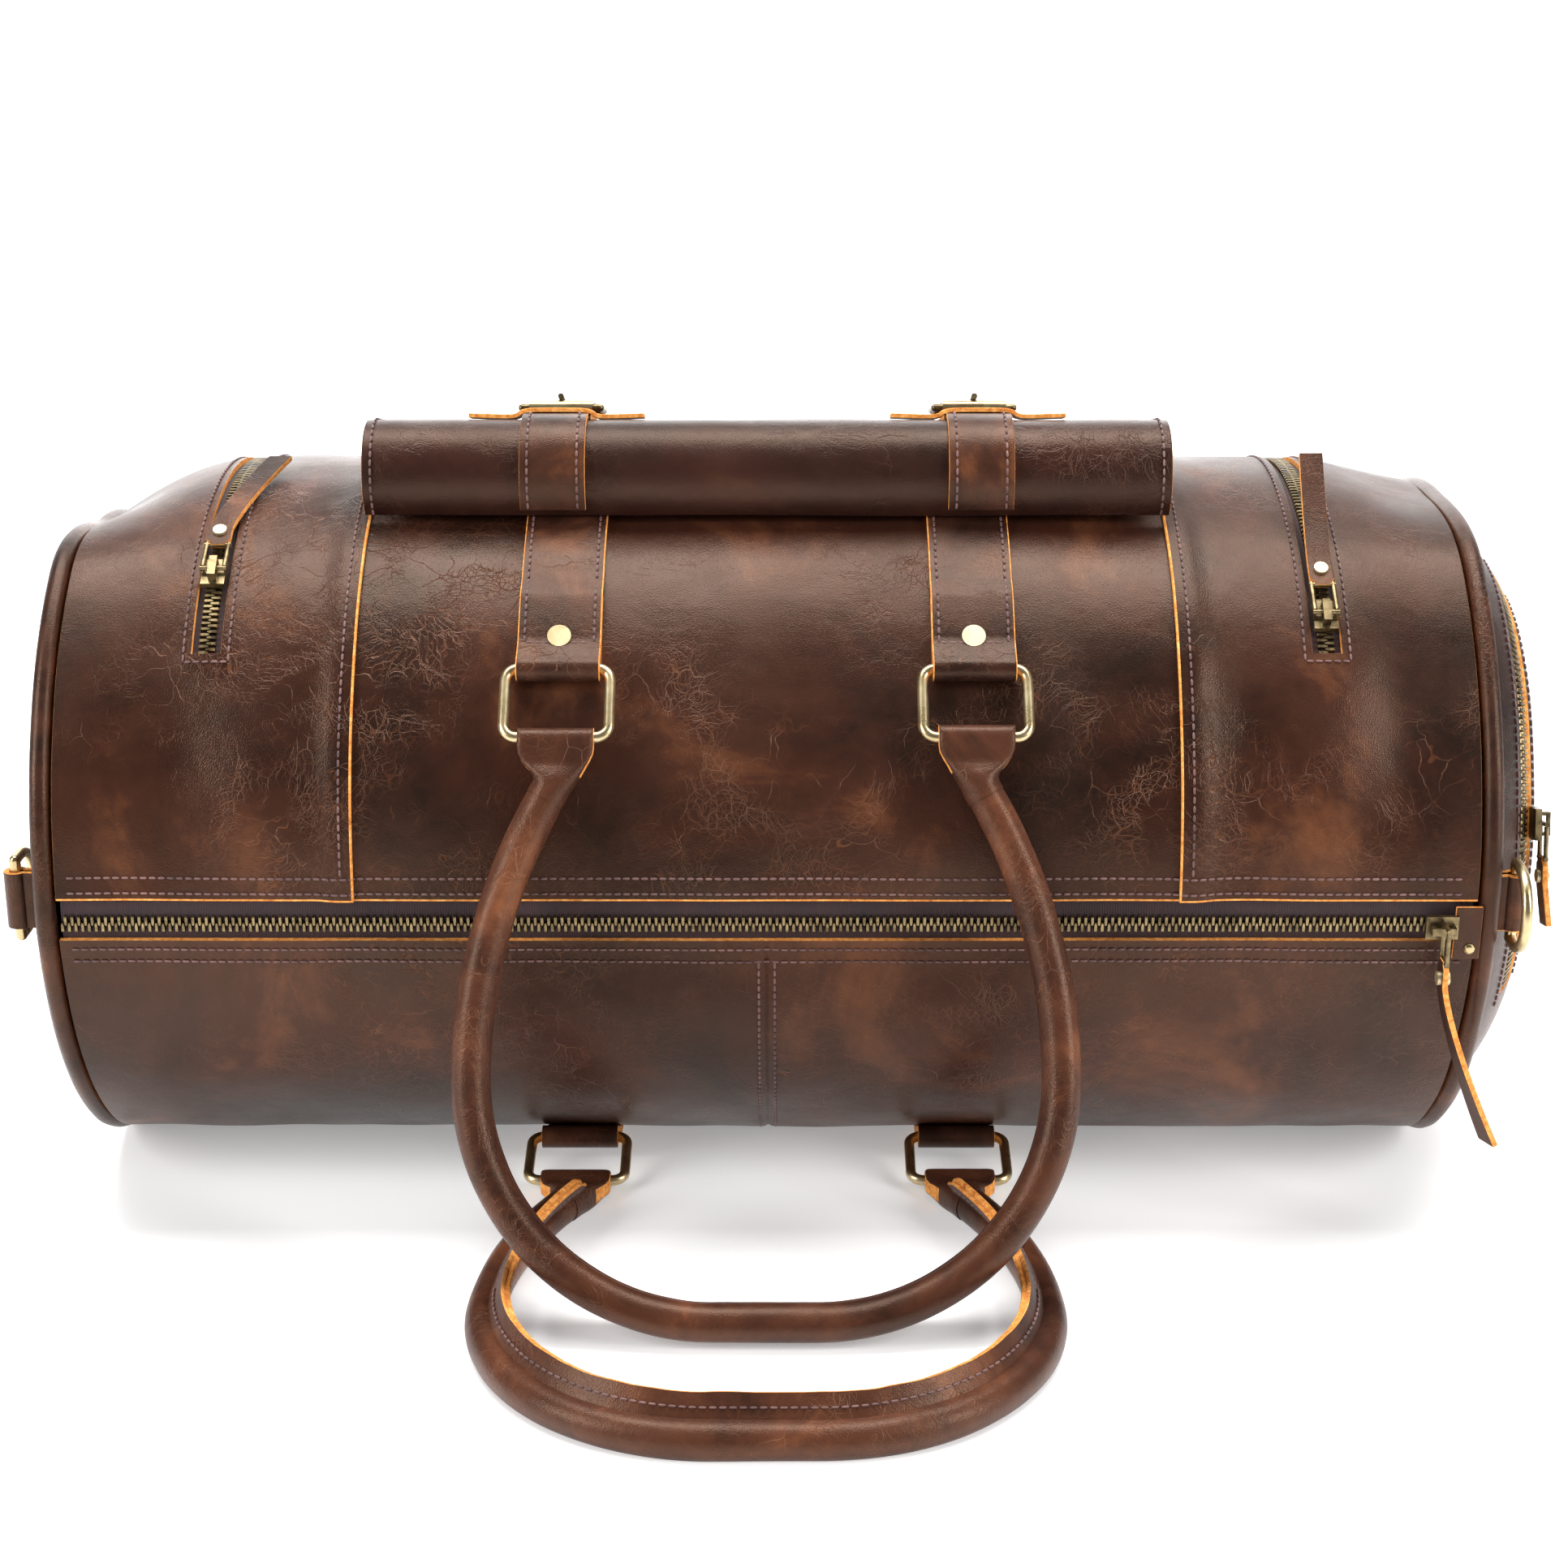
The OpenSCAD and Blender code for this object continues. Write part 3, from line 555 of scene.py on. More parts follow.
PANEL = (HIDE, EDGE)
STRAPS = (HIDE_STRAP, EDGE)
HANDLES = (HIDE_HANDLE, EDGE)

# ---- shell of the bag ----


def outward(p):
    """Direction away from the barrel's axis."""
    return Vector((0, p.y, p.z - AXIS)).normalized()


def lap_rise(x):
    """How far an outer front panel lies above the plain surface where it laps over the middle one."""
    return LAP * smooth((SEAM_X + 15 * MM - abs(x)) / (9 * MM)) if abs(x) >= SEAM_X else 0


def panel(name, x_marks, a_marks, lap=None, window=None, bevel=BEVEL):
    """A panel of the bag. lap(x) is how far it lies above the plain surface, as it does on a lap seam,
    and window is the place of a zip's opening. Edges beside the main zip and on a lap are rubbed tan."""
    xs = spread_through(x_marks, 3.2 * MM)
    angles = spread_through(a_marks, 1.4)
    over_zip = angles[0] == ZIP_TOP
    under_zip = angles[-1] == ZIP_LOW
    if over_zip:
        angles.insert(1, ZIP_TOP + math.degrees(2 * EDGE_W / BAG_R))
    if under_zip:
        angles.insert(-1, ZIP_LOW - math.degrees(4 * EDGE_W / BAG_R))
    if lap:
        seam = min(xs, key=abs)
        xs.append(seam + math.copysign(2 * EDGE_W, seam))
        xs.sort()
    rises = [lap(x) if lap else 0 for x in xs]
    drops = [rise - LEATHER + (SKIVED if rise > 0 else 0) for rise in rises]
    outer = [[skin(x, a, rise) for x, rise in zip(xs, rises)] for a in angles]
    inner = [[skin(x, a, drop) for x, drop in zip(xs, drops)] for a in angles]

    def keep(i, j):
        if not window:
            return True
        in_x = abs((xs[j] + xs[j + 1]) / 2 - window) < WINDOW
        return not (in_x and WINDOW_FROM < (angles[i] + angles[i + 1]) / 2 < WINDOW_TO)

    def trim(i, j):
        beside_zip = (over_zip and i == 0) or (under_zip and i == len(angles) - 2)
        return beside_zip or (lap and abs(abs((xs[j] + xs[j + 1]) / 2) - SEAM_X) < 2 * EDGE_W)

    shell(name, outer, inner, PANEL, "bag", keep=keep, trim=trim, bevel=bevel, nodes=[name], slot="leather")


def front_panels():
    for side, name in ((-1, "front_panel_left"), (1, "front_panel_right")):
        window = (SIDE_X - WINDOW, SIDE_X + WINDOW)
        marks = sorted(side * x for x in (SEAM_X, *window, PANEL_END))
        panel(name, marks, [ZIP_TOP, WINDOW_FROM, WINDOW_TO, BASE_FROM], lap_rise, side * SIDE_X)
        sew_lap(side)
        sew_window(side, window[0] - SEW_GAP, window[1] + SEW_GAP)
    panel("front_panel_centre", [-SEAM_X - 6 * MM, SEAM_X + 6 * MM], [ZIP_TOP, BASE_FROM])


def sew_lap(side):
    row = [skin(side * (SEAM_X + LAP_SEW), a, LAP) for a in spread(ZIP_TOP + 4, BASE_FROM, 1)]
    stitch("bag", row, outward)


def sew_window(side, near, far):
    """Stitches on the four sides of a side zip's opening."""
    ends = (WINDOW_FROM - SEW_TURN, WINDOW_TO + SEW_TURN)
    for x in (near, far):
        stitch("bag", [skin(side * x, a) for a in spread(*ends, 1)], outward)
    for a in ends:
        stitch("bag", [skin(side * x, a) for x in spread(near, far, STITCH)], outward)


def back_panels():
    panel("back_panel_left", [-PANEL_END, -BUTT_W, 0], [BACK_FROM, ZIP_LOW], bevel=0)
    panel("back_panel_right", [0, BUTT_W, PANEL_END], [BACK_FROM, ZIP_LOW], bevel=0)
    panel("base_panel", [-PANEL_END, PANEL_END], [BASE_FROM, BASE_TO])
    for x in (-SEW_GAP, SEW_GAP):
        stitch("bag", [skin(x, a) for a in spread(-60, ZIP_LOW - 3.4, 1)], outward)
    sew_end = HALF - 5 * MM
    for a in (ZIP_TOP + 1.2, ZIP_TOP + 3.6):
        stitch("bag", [skin(x, a, lap_rise(x)) for x in spread(-sew_end, sew_end, 2 * MM)], outward)
    for a in (ZIP_LOW - 1.5, ZIP_LOW - 3.6, BASE_FROM + 2, BASE_TO - 2):
        stitch("bag", [skin(x, a) for x in spread(-sew_end, sew_end, 4 * MM)], outward)


END_PANELS = {-1: "end_panel_left", 1: "end_panel_right"}
BULGE = {side: max(abs(c.x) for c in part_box(name)) - END_FACE for side, name in END_PANELS.items()}


def end_point(side, r, a, drop=0.0):
    """A point on an end panel, below its surface by drop."""
    share = r / END_RIM
    turn = math.radians(a)
    swell = 1.0 * MM * noise.noise(Vector((r * 22 * math.cos(turn), r * 22 * math.sin(turn), side)))
    x = END_FACE + BULGE[side] * (1 - share ** 5) + swell * (1 - share ** 4) - drop
    p = polar(side * x, a, r + relief(side * HALF, a) * share ** 2)
    p.z = max(p.z, 1 * MM)
    return p


def end_panels():
    for side, name in END_PANELS.items():
        radii = spread_through([2 * MM, END_ZIP_R - WINDOW, END_ZIP_R + WINDOW, END_RIM], 3 * MM)
        angles = spread_through([-END_LOW, END_HIGH, 360 - END_LOW], 2.5)[:-1]
        outer = [[end_point(side, r, a) for a in angles] for r in radii]
        inner = [[end_point(side, r, a, LEATHER) for a in angles] for r in radii]

        def keep(i, j):
            in_r = abs((radii[i] + radii[i + 1]) / 2 - END_ZIP_R) < WINDOW
            return side < 0 or not (in_r and angles[j] + 1 < END_HIGH)

        shell(name, outer, inner, PANEL, "bag", keep=keep, wrap=True, bevel=0.4 * MM, nodes=[name],
              slot="leather")
    for r in (END_ZIP_R - WINDOW - SEW_GAP, END_ZIP_R + WINDOW + SEW_GAP):
        line = [end_point(1, r, a) for a in spread(-END_LOW - 2, END_HIGH + 2, 1)]
        stitch("bag", line, ALONG)


def piping():
    sides = 12
    for side, name in ((-1, "piping_left"), (1, "piping_right")):
        rings = []
        for a in spread(0, 360, 2)[:-1]:
            middle = polar(side * (HALF + PIPING_R), a, BAG_R - 3 * MM + relief(side * HALF, a))
            out = outward(middle)
            ring = []
            for k in range(sides):
                turn = math.tau * k / sides
                p = middle + (out * math.cos(turn) + ALONG * math.sin(turn)) * PIPING_R
                p.z = max(p.z, 0)
                ring.append(p)
            rings.append(ring)
        loft(name, rings, [HIDE_STRAP], "bag", closed=True, nodes=[name], slot="leather")


def lining():
    """A cloth sack just inside the leather."""
    drop = 4.6 * MM
    end_drop = drop + 4 * MM
    rim = END_RIM * 0.95
    shares = (0.3, 0.95, 1.0)
    angles = range(0, 360, 4)
    rings = [[end_point(-1, rim * share, a, end_drop) for a in angles] for share in shares]
    rings += [[skin(x, a, -drop) for a in angles] for x in spread(-HALF + 4 * MM, HALF - 4 * MM, 8 * MM)]
    rings += [[end_point(1, rim * share, a, end_drop) for a in angles] for share in reversed(shares)]
    loft("lining", rings, [CLOTH], "bag", nodes=["lining"], slot="lining")


# ---- zips ----


def zip_chain(name, place, length, nodes):
    """Two rows of interlocking teeth. place(s, w, h) gives the point s along, w across and h above
    the zip."""
    pitch, half_t, root = 2.5 * MM, 0.95 * MM, 1.05
    outline = [(3.1, -0.60), (3.1, 0.60), (0.7, 0.60), (0.1, 0.52), (-0.6, 0.40), (-0.6, -0.40),
               (0.1, -0.52), (0.7, -0.60)]
    levels = ((-half_t, 1), (0.6 * half_t, 1), (half_t, 0.82))
    verts, faces = [], []
    corners = len(outline)
    for i in range(int(length / pitch)):
        for side in (-1, 1):
            middle = (i + (0.25 if side < 0 else 0.75)) * pitch
            first = len(verts)
            for h, share in levels:
                for w, s in outline:
                    across = side * (mix(root, w, share)) * MM
                    verts.append(place(middle + s * share * MM, across, h))
            for level in range(len(levels) - 1):
                low = first + level * corners
                for k in range(corners):
                    n = (k + 1) % corners
                    faces.append([low + k, low + n, low + corners + n, low + corners + k])
            faces.append([first + k for k in reversed(range(corners))])
            faces.append([low + corners + k for k in range(corners)])
    solid(name, verts, faces, [0] * len(faces), [ANTIQUE], "bag", nodes=nodes, slot="zip_brass", sharp=35)


def zip_tape(name, place, length, half, nodes):
    """The woven tape under a row of teeth."""
    across = spread(-half, half, 2 * MM)
    steps = spread(0, length, 3 * MM)
    outer = [[place(s, w, -0.9 * MM) for w in across] for s in steps]
    inner = [[place(s, w, -1.7 * MM) for w in across] for s in steps]
    shell(name, outer, inner, (TAPE, TAPE), "bag", nodes=nodes, slot="zip_tape")


def main_zip():
    start = -HALF + 2 * MM
    length = -2 * start

    def place(s, w, h):
        return skin(start + s, ZIP + math.degrees(w / BAG_R), h - SUNK)

    zip_tape("main_zip_tape", place, length, 10 * MM, ["main_zip_tape"])
    zip_chain("main_zip_teeth", place, length, ["main_zip_teeth"])


def side_zips():
    length = math.radians(WINDOW_TO - WINDOW_FROM) * BAG_R
    for side, name in ((-1, "left"), (1, "right")):
        def place(s, w, h):
            return skin(side * SIDE_X + w, WINDOW_FROM + math.degrees(s / BAG_R), h - SUNK)

        zip_tape(f"side_zip_tape_{name}", place, length, 8 * MM, ["side_zip_tapes"])
        zip_chain(f"side_zip_teeth_{name}", place, length, ["side_zip_teeth"])


def end_zip():
    length = math.radians(END_HIGH + END_LOW) * END_ZIP_R

    def place(s, w, h):
        return end_point(1, END_ZIP_R + w, -END_LOW + math.degrees(s / END_ZIP_R), SUNK - h)

    zip_tape("end_zip_tape", place, length, 8 * MM, ["end_zip_tape"])
    zip_chain("end_zip_teeth", place, length, ["end_zip_teeth"])


def dome(name, middle, out, radius, height, body):
    """A small domed stud."""
    sides = 20
    side = out.orthogonal().normalized()
    up = out.cross(side)
    turns = [math.tau * k / sides for k in range(sides)]
    rings = []
    for r, h in ((1, -0.3), (1, 0.25), (0.86, 0.6), (0.5, 0.92), (0.12, 1)):
        ring = [side * math.cos(turn) + up * math.sin(turn) for turn in turns]
        rings.append([middle + p * radius * r + out * height * h for p in ring])
    loft(name, rings, [BRASS], body, slot="ring_brass")


def zip_end_tab():
    """The leather tab over the main zip's end, with its stud."""
    high = 1.6 * MM
    angles = spread(ZIP - 5.4, ZIP + 3.2, 0.7)
    xs = spread(HALF - 9 * MM, HALF + 1 * MM, 1.2 * MM)
    outer = [[skin(x, a, high) for x in xs] for a in angles]
    inner = [[skin(x, a, 0.1 * MM) for x in xs] for a in angles]
    shell("zip_end_tab", outer, inner, STRAPS, "bag", bevel=0.4 * MM, nodes=["zip_end_tab"], slot="leather")
    middle = skin(HALF - 3 * MM, ZIP - 3.6, high)
    dome("zip_end_stud", middle, outward(middle), 2.2 * MM, 1.1 * MM, "bag")


# Distances from a pull's pivot: where the tag starts, widens, begins to bend, and ends.
PULL_TOP = 12.6 * MM
PULL_NECK = 15.4 * MM
PULL_STRAIGHT = 22 * MM
SIDE_PULL = 73 * MM
MAIN_PULL = 87 * MM
END_PULL = 39 * MM


def beyond(u):
    """How far a distance u from a pull's pivot is past the tag's straight top."""
    return max(u - PULL_STRAIGHT, 0)


def pull_tag(name, pivot, down, across, length, bend, twist=None):
    """A leather tag that hangs from its wire loop. bend(u) moves it at a distance u from the pivot, and
    twist(u) turns it there."""
    us = spread(PULL_TOP, length, 1.5 * MM)
    line = [pivot + down * u + bend(u) for u in us]

    def half(i):
        return (3 if us[i] < PULL_NECK else 4.5) * MM

    def turned(i):
        return Matrix.Rotation(twist(us[i]), 3, down) @ across

    ribbon(f"{name}_leather", line, turned if twist else across, half, STRAP, STRAPS, name,
           nodes=[f"{name}_leather"], slot="leather")


def side_pull(name, curl, drift):
    """A side zip's pull lies up the bag. Its end curls off the surface and drifts along the bag."""
    pivot = joint_at(f"{name}_lift")
    out = outward(pivot)
    back = Vector((0, out.z, -out.y))
    lean = math.radians(8)

    def bend(u):
        t = beyond(u) / (SIDE_PULL - PULL_STRAIGHT)
        return out * curl * t ** 1.5 + ALONG * drift * t ** 1.2

    pull_tag(name, pivot, back * math.cos(lean) - out * math.sin(lean), ALONG, SIDE_PULL, bend)


def main_pull():
    """The main zip's pull hangs down with its end twisted and swung away from the bag's middle."""
    pivot = centre("main_pull_wire")
    pivot.z = joint_at("main_pull_swing").z
    free = 64 * MM
    pull_tag("main_pull", pivot, Vector((0, 0, -1)), Vector((0, 1, 0)), MAIN_PULL,
             lambda u: ALONG * 22 * MM * (beyond(u) / free) ** 1.3,
             lambda u: math.radians(-24) * beyond(u) / free)


def end_pull():
    """The short pull of the end zip hangs in line with its wire."""
    pivot = joint_at("end_pull_lift")
    down = centre("end_pull_wire") - pivot
    down.x = 0
    down.normalize()
    free = END_PULL - PULL_STRAIGHT
    pull_tag("end_pull", pivot, down, down.cross(ALONG).normalized(), END_PULL,
             lambda u: ALONG * 2 * MM * beyond(u) / free)


# ---- front pocket ----

# The lid is the flap's flat part. It lies square to the barrel's radius at this angle.
LID_ANGLE = 103
LID_OUT = polar(0, LID_ANGLE, 1) - polar(0, LID_ANGLE, 0)
LID_BACK = Vector((0, LID_OUT.z, -LID_OUT.y))
ROLL_R = 20.5 * MM
ROLL_TURN = 145
BUCKLE_TURN = 130
ROLL_S = 74 * MM
POCKET_R = BAG_R + 9 * MM
FLAP_R = POCKET_R + 0.5 * MM + LEATHER
KEEPER_S = 68 * MM


def on_lid(x, s, h):
    """A point above the flap's flat part by h, a distance s behind its front of reckoning."""
    return polar(x, LID_ANGLE, FLAP_R + h) + LID_BACK * s


def flap_line(h, turn, s_end):
    """The path of leather that rolls over the flap's edge at a height h above its outside."""
    middle = on_lid(0, -ROLL_S, -ROLL_R)
    r = ROLL_R + h
    line = []
    for t in spread(turn, 0, 4):
        way = LID_OUT * math.cos(math.radians(t)) - LID_BACK * math.sin(math.radians(t))
        line.append(middle + way * r)
    return line + [on_lid(0, s, h) for s in spread(-ROLL_S, s_end, 4 * MM)[1:]]


def roll_out(p):
    """Direction away from the middle of the flap's roll, or out of its flat part."""
    middle = on_lid(p.x, -ROLL_S, -ROLL_R)
    return (p - middle).normalized() if (p - middle).dot(LID_BACK) < 0 else LID_OUT


def pocket_flap():
    line = flap_line(-LEATHER / 2, ROLL_TURN, -2 * MM)
    xs = spread(-POCKET_HALF, POCKET_HALF, 4 * MM)
    outer, inner = [], []
    for point, tangent in zip(line, tangents(line)):
        out = tangent.cross(ALONG).normalized()
        if out.dot(roll_out(point)) < 0:
            out.negate()
        waves = [0.7 * MM * noise.noise(Vector((x * 16, point.y * 30, 3.3))) for x in xs]
        outer.append([point + ALONG * x + out * (LEATHER / 2 + wave) for x, wave in zip(xs, waves)])
        inner.append([point + ALONG * x - out * (LEATHER / 2 - wave) for x, wave in zip(xs, waves)])
    shell("pocket_flap", outer, inner, (HIDE_FLAP, EDGE), "flap", bevel=0.5 * MM, nodes=["pocket_flap"],
          slot="leather")
    row = flap_line(0.2 * MM, ROLL_TURN - 3, -4 * MM)
    for x in (-POCKET_HALF + 3.5 * MM, POCKET_HALF - 3.5 * MM):
        stitch("flap", [p + ALONG * x for p in row], roll_out)


def pocket_body():
    """The pocket's box under the flap. Its far end slopes down to the bag."""
    start, slope, end = 79, 134, 136
    low = BAG_R + 0.1 * MM
    rows = 3 * MM

    def top(a):
        return POCKET_R / math.cos(math.radians(LID_ANGLE - a)) if a < LID_ANGLE else POCKET_R

    def profile(a, inset):
        share = smooth((end - a) / (end - slope))
        high = low + (top(a) - low) * share - inset * share
        half = POCKET_HALF - inset
        points = [polar(-half, a, r) for r in spread(low, high, rows)]
        points += [polar(x, a, high) for x in spread(-half, half, 6 * MM)[1:-1]]
        return points + [polar(half, a, r) for r in reversed(spread(low, high, rows))]

    angles = [*spread(start, slope, 2), slope + 0.7, slope + 1.4, end]
    count = 2 * len(spread(low, top(start), rows)) + 60
    outer, inner = ([even_count(profile(a, inset), count) for a in angles] for inset in (0, LEATHER))
    shell("pocket_body", outer, inner, PANEL, "bag", bevel=0.4 * MM, nodes=["pocket_body"], slot="leather")


def even_count(line, count):
    """A line of points as count points, evenly spaced."""
    lengths = [0]
    for a, b in zip(line, line[1:]):
        lengths.append(lengths[-1] + (b - a).length)
    made, k = [], 0
    for i in range(count):
        want = lengths[-1] * i / (count - 1)
        while k < len(line) - 2 and lengths[k + 1] < want:
            k += 1
        span = max(lengths[k + 1] - lengths[k], 1e-9)
        made.append(line[k].lerp(line[k + 1], min((want - lengths[k]) / span, 1)))
    return made


def chape(bar, x):
    """A narrow strip that holds a buckle's bar against the flap."""
    loop = [(-3.4, -4.6), (-2.5, -1.5)]
    loop += [(2.3 * math.sin(math.radians(t)), 2.3 * math.cos(math.radians(t))) for t in range(-90, 91, 15)]
    loop += [(2.5, -1.5), (3.4, -4.6)]
    line = [bar + ALONG * x + LID_BACK * s * MM + LID_OUT * h * MM for s, h in loop]
    return ribbon("chape", line, ALONG, 4.5 * MM, 1.4 * MM, STRAPS, "flap")


def buckle_straps():
    line = flap_line(STRAP / 2 + 0.3 * MM, BUCKLE_TURN, 14 * MM)
    row = flap_line(STRAP + 0.4 * MM, BUCKLE_TURN - 2, 12 * MM)
    pieces = []
    for side, prong in ((-1, "left_prong_lift"), (1, "right_prong_lift")):
        middle = side * BUCKLE_X
        pieces.append(ribbon("strap", [p + ALONG * middle for p in line], ALONG, BUCKLE_HALF, STRAP, STRAPS,
                             "flap"))
        for x in (-BUCKLE_HALF + SEW_GAP, BUCKLE_HALF - SEW_GAP):
            stitch("flap", [p + ALONG * (middle + x) for p in row], roll_out)
        for x in (-7.7 * MM, 7.7 * MM):
            pieces.append(chape(joint_at(prong), x))
    joined("buckle_straps", pieces)


def strap_keepers():
    """Bands over the buckle straps, each with a wing on either side that lies on the flap."""
    wing, leg, thick, gap = 34 * MM, 14 * MM, 1.8 * MM, 0.3 * MM
    low = thick / 2 + gap
    high = low + STRAP + gap
    right = [(0, high + 0.2 * MM), (leg - 1 * MM, high), (leg + 1 * MM, low + 0.4 * MM), (leg + 5 * MM, low),
             (wing, low + 0.5 * MM)]
    profile = [(-x, h) for x, h in reversed(right[1:])] + right
    pieces = []
    for side in (-1, 1):
        line = softened([on_lid(side * BUCKLE_X + x, -KEEPER_S, h) for x, h in profile])
        pieces.append(ribbon("keeper", line, LID_BACK, 6 * MM, thick, STRAPS, "flap"))
    joined("strap_keepers", pieces)


# ---- handle straps ----


def angle_of(p):
    """Angle of a point around the barrel."""
    return math.degrees(math.atan2(p.z - AXIS, -p.y))


def strap_line(bar, way, far, fold):
    """Path of a strap that comes from the angle far, turns around a ring's bar and ends at fold, over
    itself. way is 1 for straps above their bar and -1 for straps below it."""
    angle = angle_of(bar)
    near = angle + 4.6 * way
    out = outward(bar)
    along = (polar(0, angle + way, BAG_R) - polar(0, angle, BAG_R)).normalized()
    low = BAG_R + STRAP / 2 + 0.1 * MM
    high = low + STRAP
    r = BAR_R + STRAP / 2
    line = [polar(0, a, low) for a in spread(far, fold + 3 * way, 2)]
    line += [polar(0, a, high) for a in spread(fold, near, 1)]
    for t in spread(-35, 180, 15):
        turn = math.radians(t)
        line.append(bar + out * math.cos(turn) * r - along * math.sin(turn) * r)
    line += [polar(0, a, low) for a in spread(near, fold, 1)]
    for p in line:
        p.z = max(p.z, STRAP / 2)
    return line


def sew_strap(middle, way, near, sewn_to, fold):
    """Stitches along both edges of a strap and across it beside its ring."""
    def top(x, a):
        double = smooth((fold - a) * way / 1.5 + 1)
        p = polar(middle + x, a, BAG_R + STRAP * (1 + double) + 0.2 * MM)
        p.z = max(p.z, STRAP)
        return p

    for x in (-STRAP_SEW, STRAP_SEW):
        stitch("bag", [top(x, a) for a in spread(near, sewn_to, 0.7)], outward)
    stitch("bag", [top(x, near) for x in spread(-STRAP_SEW, STRAP_SEW, 2 * MM)], outward)


def handle_straps(name, way, far, fold, sewn_to):
    """The two straps that hold a handle's rings, sewn down to the angle sewn_to."""
    bar = joint_at(f"{name}_rings_swing")
    line = strap_line(bar, way, far, fold)
    near = angle_of(bar) + 4.2 * way
    pieces = []
    for side in (-1, 1):
        shifted = [p + ALONG * side * RING_X for p in line]
        pieces.append(ribbon("strap", shifted, ALONG, STRAP_HALF, STRAP, STRAPS, "bag"))
        sew_strap(side * RING_X, way, near, sewn_to, fold)
    joined(f"handle_straps_{name}", pieces)


# ---- handles ----

GRIP_STEP = 2.5 * MM  # between sections along a handle
TAB_STEPS = round(20 * MM / GRIP_STEP)  # covered by a tab at each end


def grip_outline(half, reach):
    """Half of a handle, as (across, down) from its bar: a short neck, a leaning leg and a round bend."""
    neck = 16 * MM
    bend = 0.82 * half
    turn = reach - bend
    lean = 2 * math.atan((half - RING_X) / (turn - neck))
    leg_r = (turn - neck) / math.sin(lean)
    outline = [(RING_X, 0), (RING_X, 6 * MM)]
    for t in spread(lean, 0, 0.05):
        outline.append((half - leg_r * (1 - math.cos(t)), turn - leg_r * math.sin(t)))
    for t in spread(0, math.pi / 2, 0.06)[1:]:
        outline.append((half - bend + bend * math.cos(t), turn + bend * math.sin(t)))
    return outline + [(0, reach)]


class Grip:
    """The middle line of a handle with its directions: down its plane, out of the plane, and inwards."""

    def __init__(self, name, flange_side, flange_tilt):
        self.name = name
        self.body = f"{name}_grip"
        low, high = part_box(f"{name}_handle")
        bar = joint_at(f"{name}_handle_lift")
        apex = Vector((0, low.y + TUBE_R, low.z + TUBE_R))
        reach = (apex - bar).length
        self.down = (apex - bar) / reach
        self.normal = Vector((0, -self.down.z, self.down.y)) * flange_side
        right = grip_outline(high.x - TUBE_R, reach)
        outline = right + [(-x, d) for x, d in reversed(right[:-1])]
        self.line = even(softened([bar + ALONG * x + self.down * d for x, d in outline]), GRIP_STEP)
        self.ways = tangents(self.line)
        self.inwards = [self.normal.cross(way).normalized() for way in self.ways]
        if self.inwards[len(self.line) // 2].dot(self.down) > 0:
            self.inwards = [-v for v in self.inwards]
        self.first = TAB_STEPS
        self.last = len(self.line) - 1 - TAB_STEPS
        self.tilt = math.radians(flange_tilt)

    def ring(self, i, wide, deep, power, count=24):
        """A rounded box around the line at step i. A power of 2 makes it an ellipse."""
        made = []
        for k in range(count):
            c, s = math.cos(math.tau * k / count), math.sin(math.tau * k / count)
            u = math.copysign(abs(c) ** (2 / power), c) * wide
            v = math.copysign(abs(s) ** (2 / power), s) * deep
            made.append(self.line[i] + self.inwards[i] * u + self.normal * v)
        return made

    def flange_frame(self, i):
        """Directions along and across the flange at step i."""
        out = self.inwards[i] * math.cos(self.tilt) + self.normal * math.sin(self.tilt)
        return out, out.cross(self.ways[i]).normalized()


def grip_tube(grip):
    rings = []
    for i in range(grip.first, grip.last + 1):
        r = TUBE_R * (1 + 0.03 * noise.noise(grip.line[i] * 40))
        rings.append(grip.ring(i, r, r, 2))
    loft(f"{grip.name}_handle", rings, [HIDE_HANDLE], grip.body,
         nodes=[f"{grip.name}_handle", f"{grip.name}_handle_core"], slot="leather")


def grip_flange(grip):
    """The seam of the rolled leather leaves the tube at a tilt and ends in two raw edges."""
    root, sewn, short, full = 5 * MM, 9 * MM, 8.5 * MM, 15.5 * MM
    low, high = grip.first - 2, grip.last + 2
    rings = []
    for i in range(low, high + 1):
        tip = mix(short, full, smooth(min(i - low + 1, high + 1 - i) / 5))
        tip += 0.35 * MM * noise.noise(grip.line[i] * 90)
        out, side = grip.flange_frame(i)
        upper = [(root, 2.4), (sewn, 2.1), (tip, 2.0)]
        edge = [(tip + 0.3 * MM, -1.0), (tip - 0.5 * MM, 0), (tip + 0.2 * MM, 1.0)]
        shape = [(r, -w) for r, w in upper] + edge + upper[::-1]
        rings.append([grip.line[i] + out * r + side * w * MM for r, w in shape])
    loft(f"{grip.name}_handle_flange", rings, [HIDE_HANDLE, EDGE], grip.body, slot="leather",
         kind=lambda i, j: 1 if 2 <= j <= 5 else 0, sharp=50)


def sew_flange(grip):
    """Stitches on both faces of the flange."""
    middle = len(grip.line) // 2
    face_out = grip.normal if grip.tilt < math.radians(45) else -grip.inwards[middle]
    for face in (-1, 1):
        row = []
        for i in range(grip.first, grip.last + 1):
            out, side = grip.flange_frame(i)
            row.append(grip.line[i] + out * 10.6 * MM + side * face * 2.15 * MM)
        stitch(grip.body, row, face_out * face)


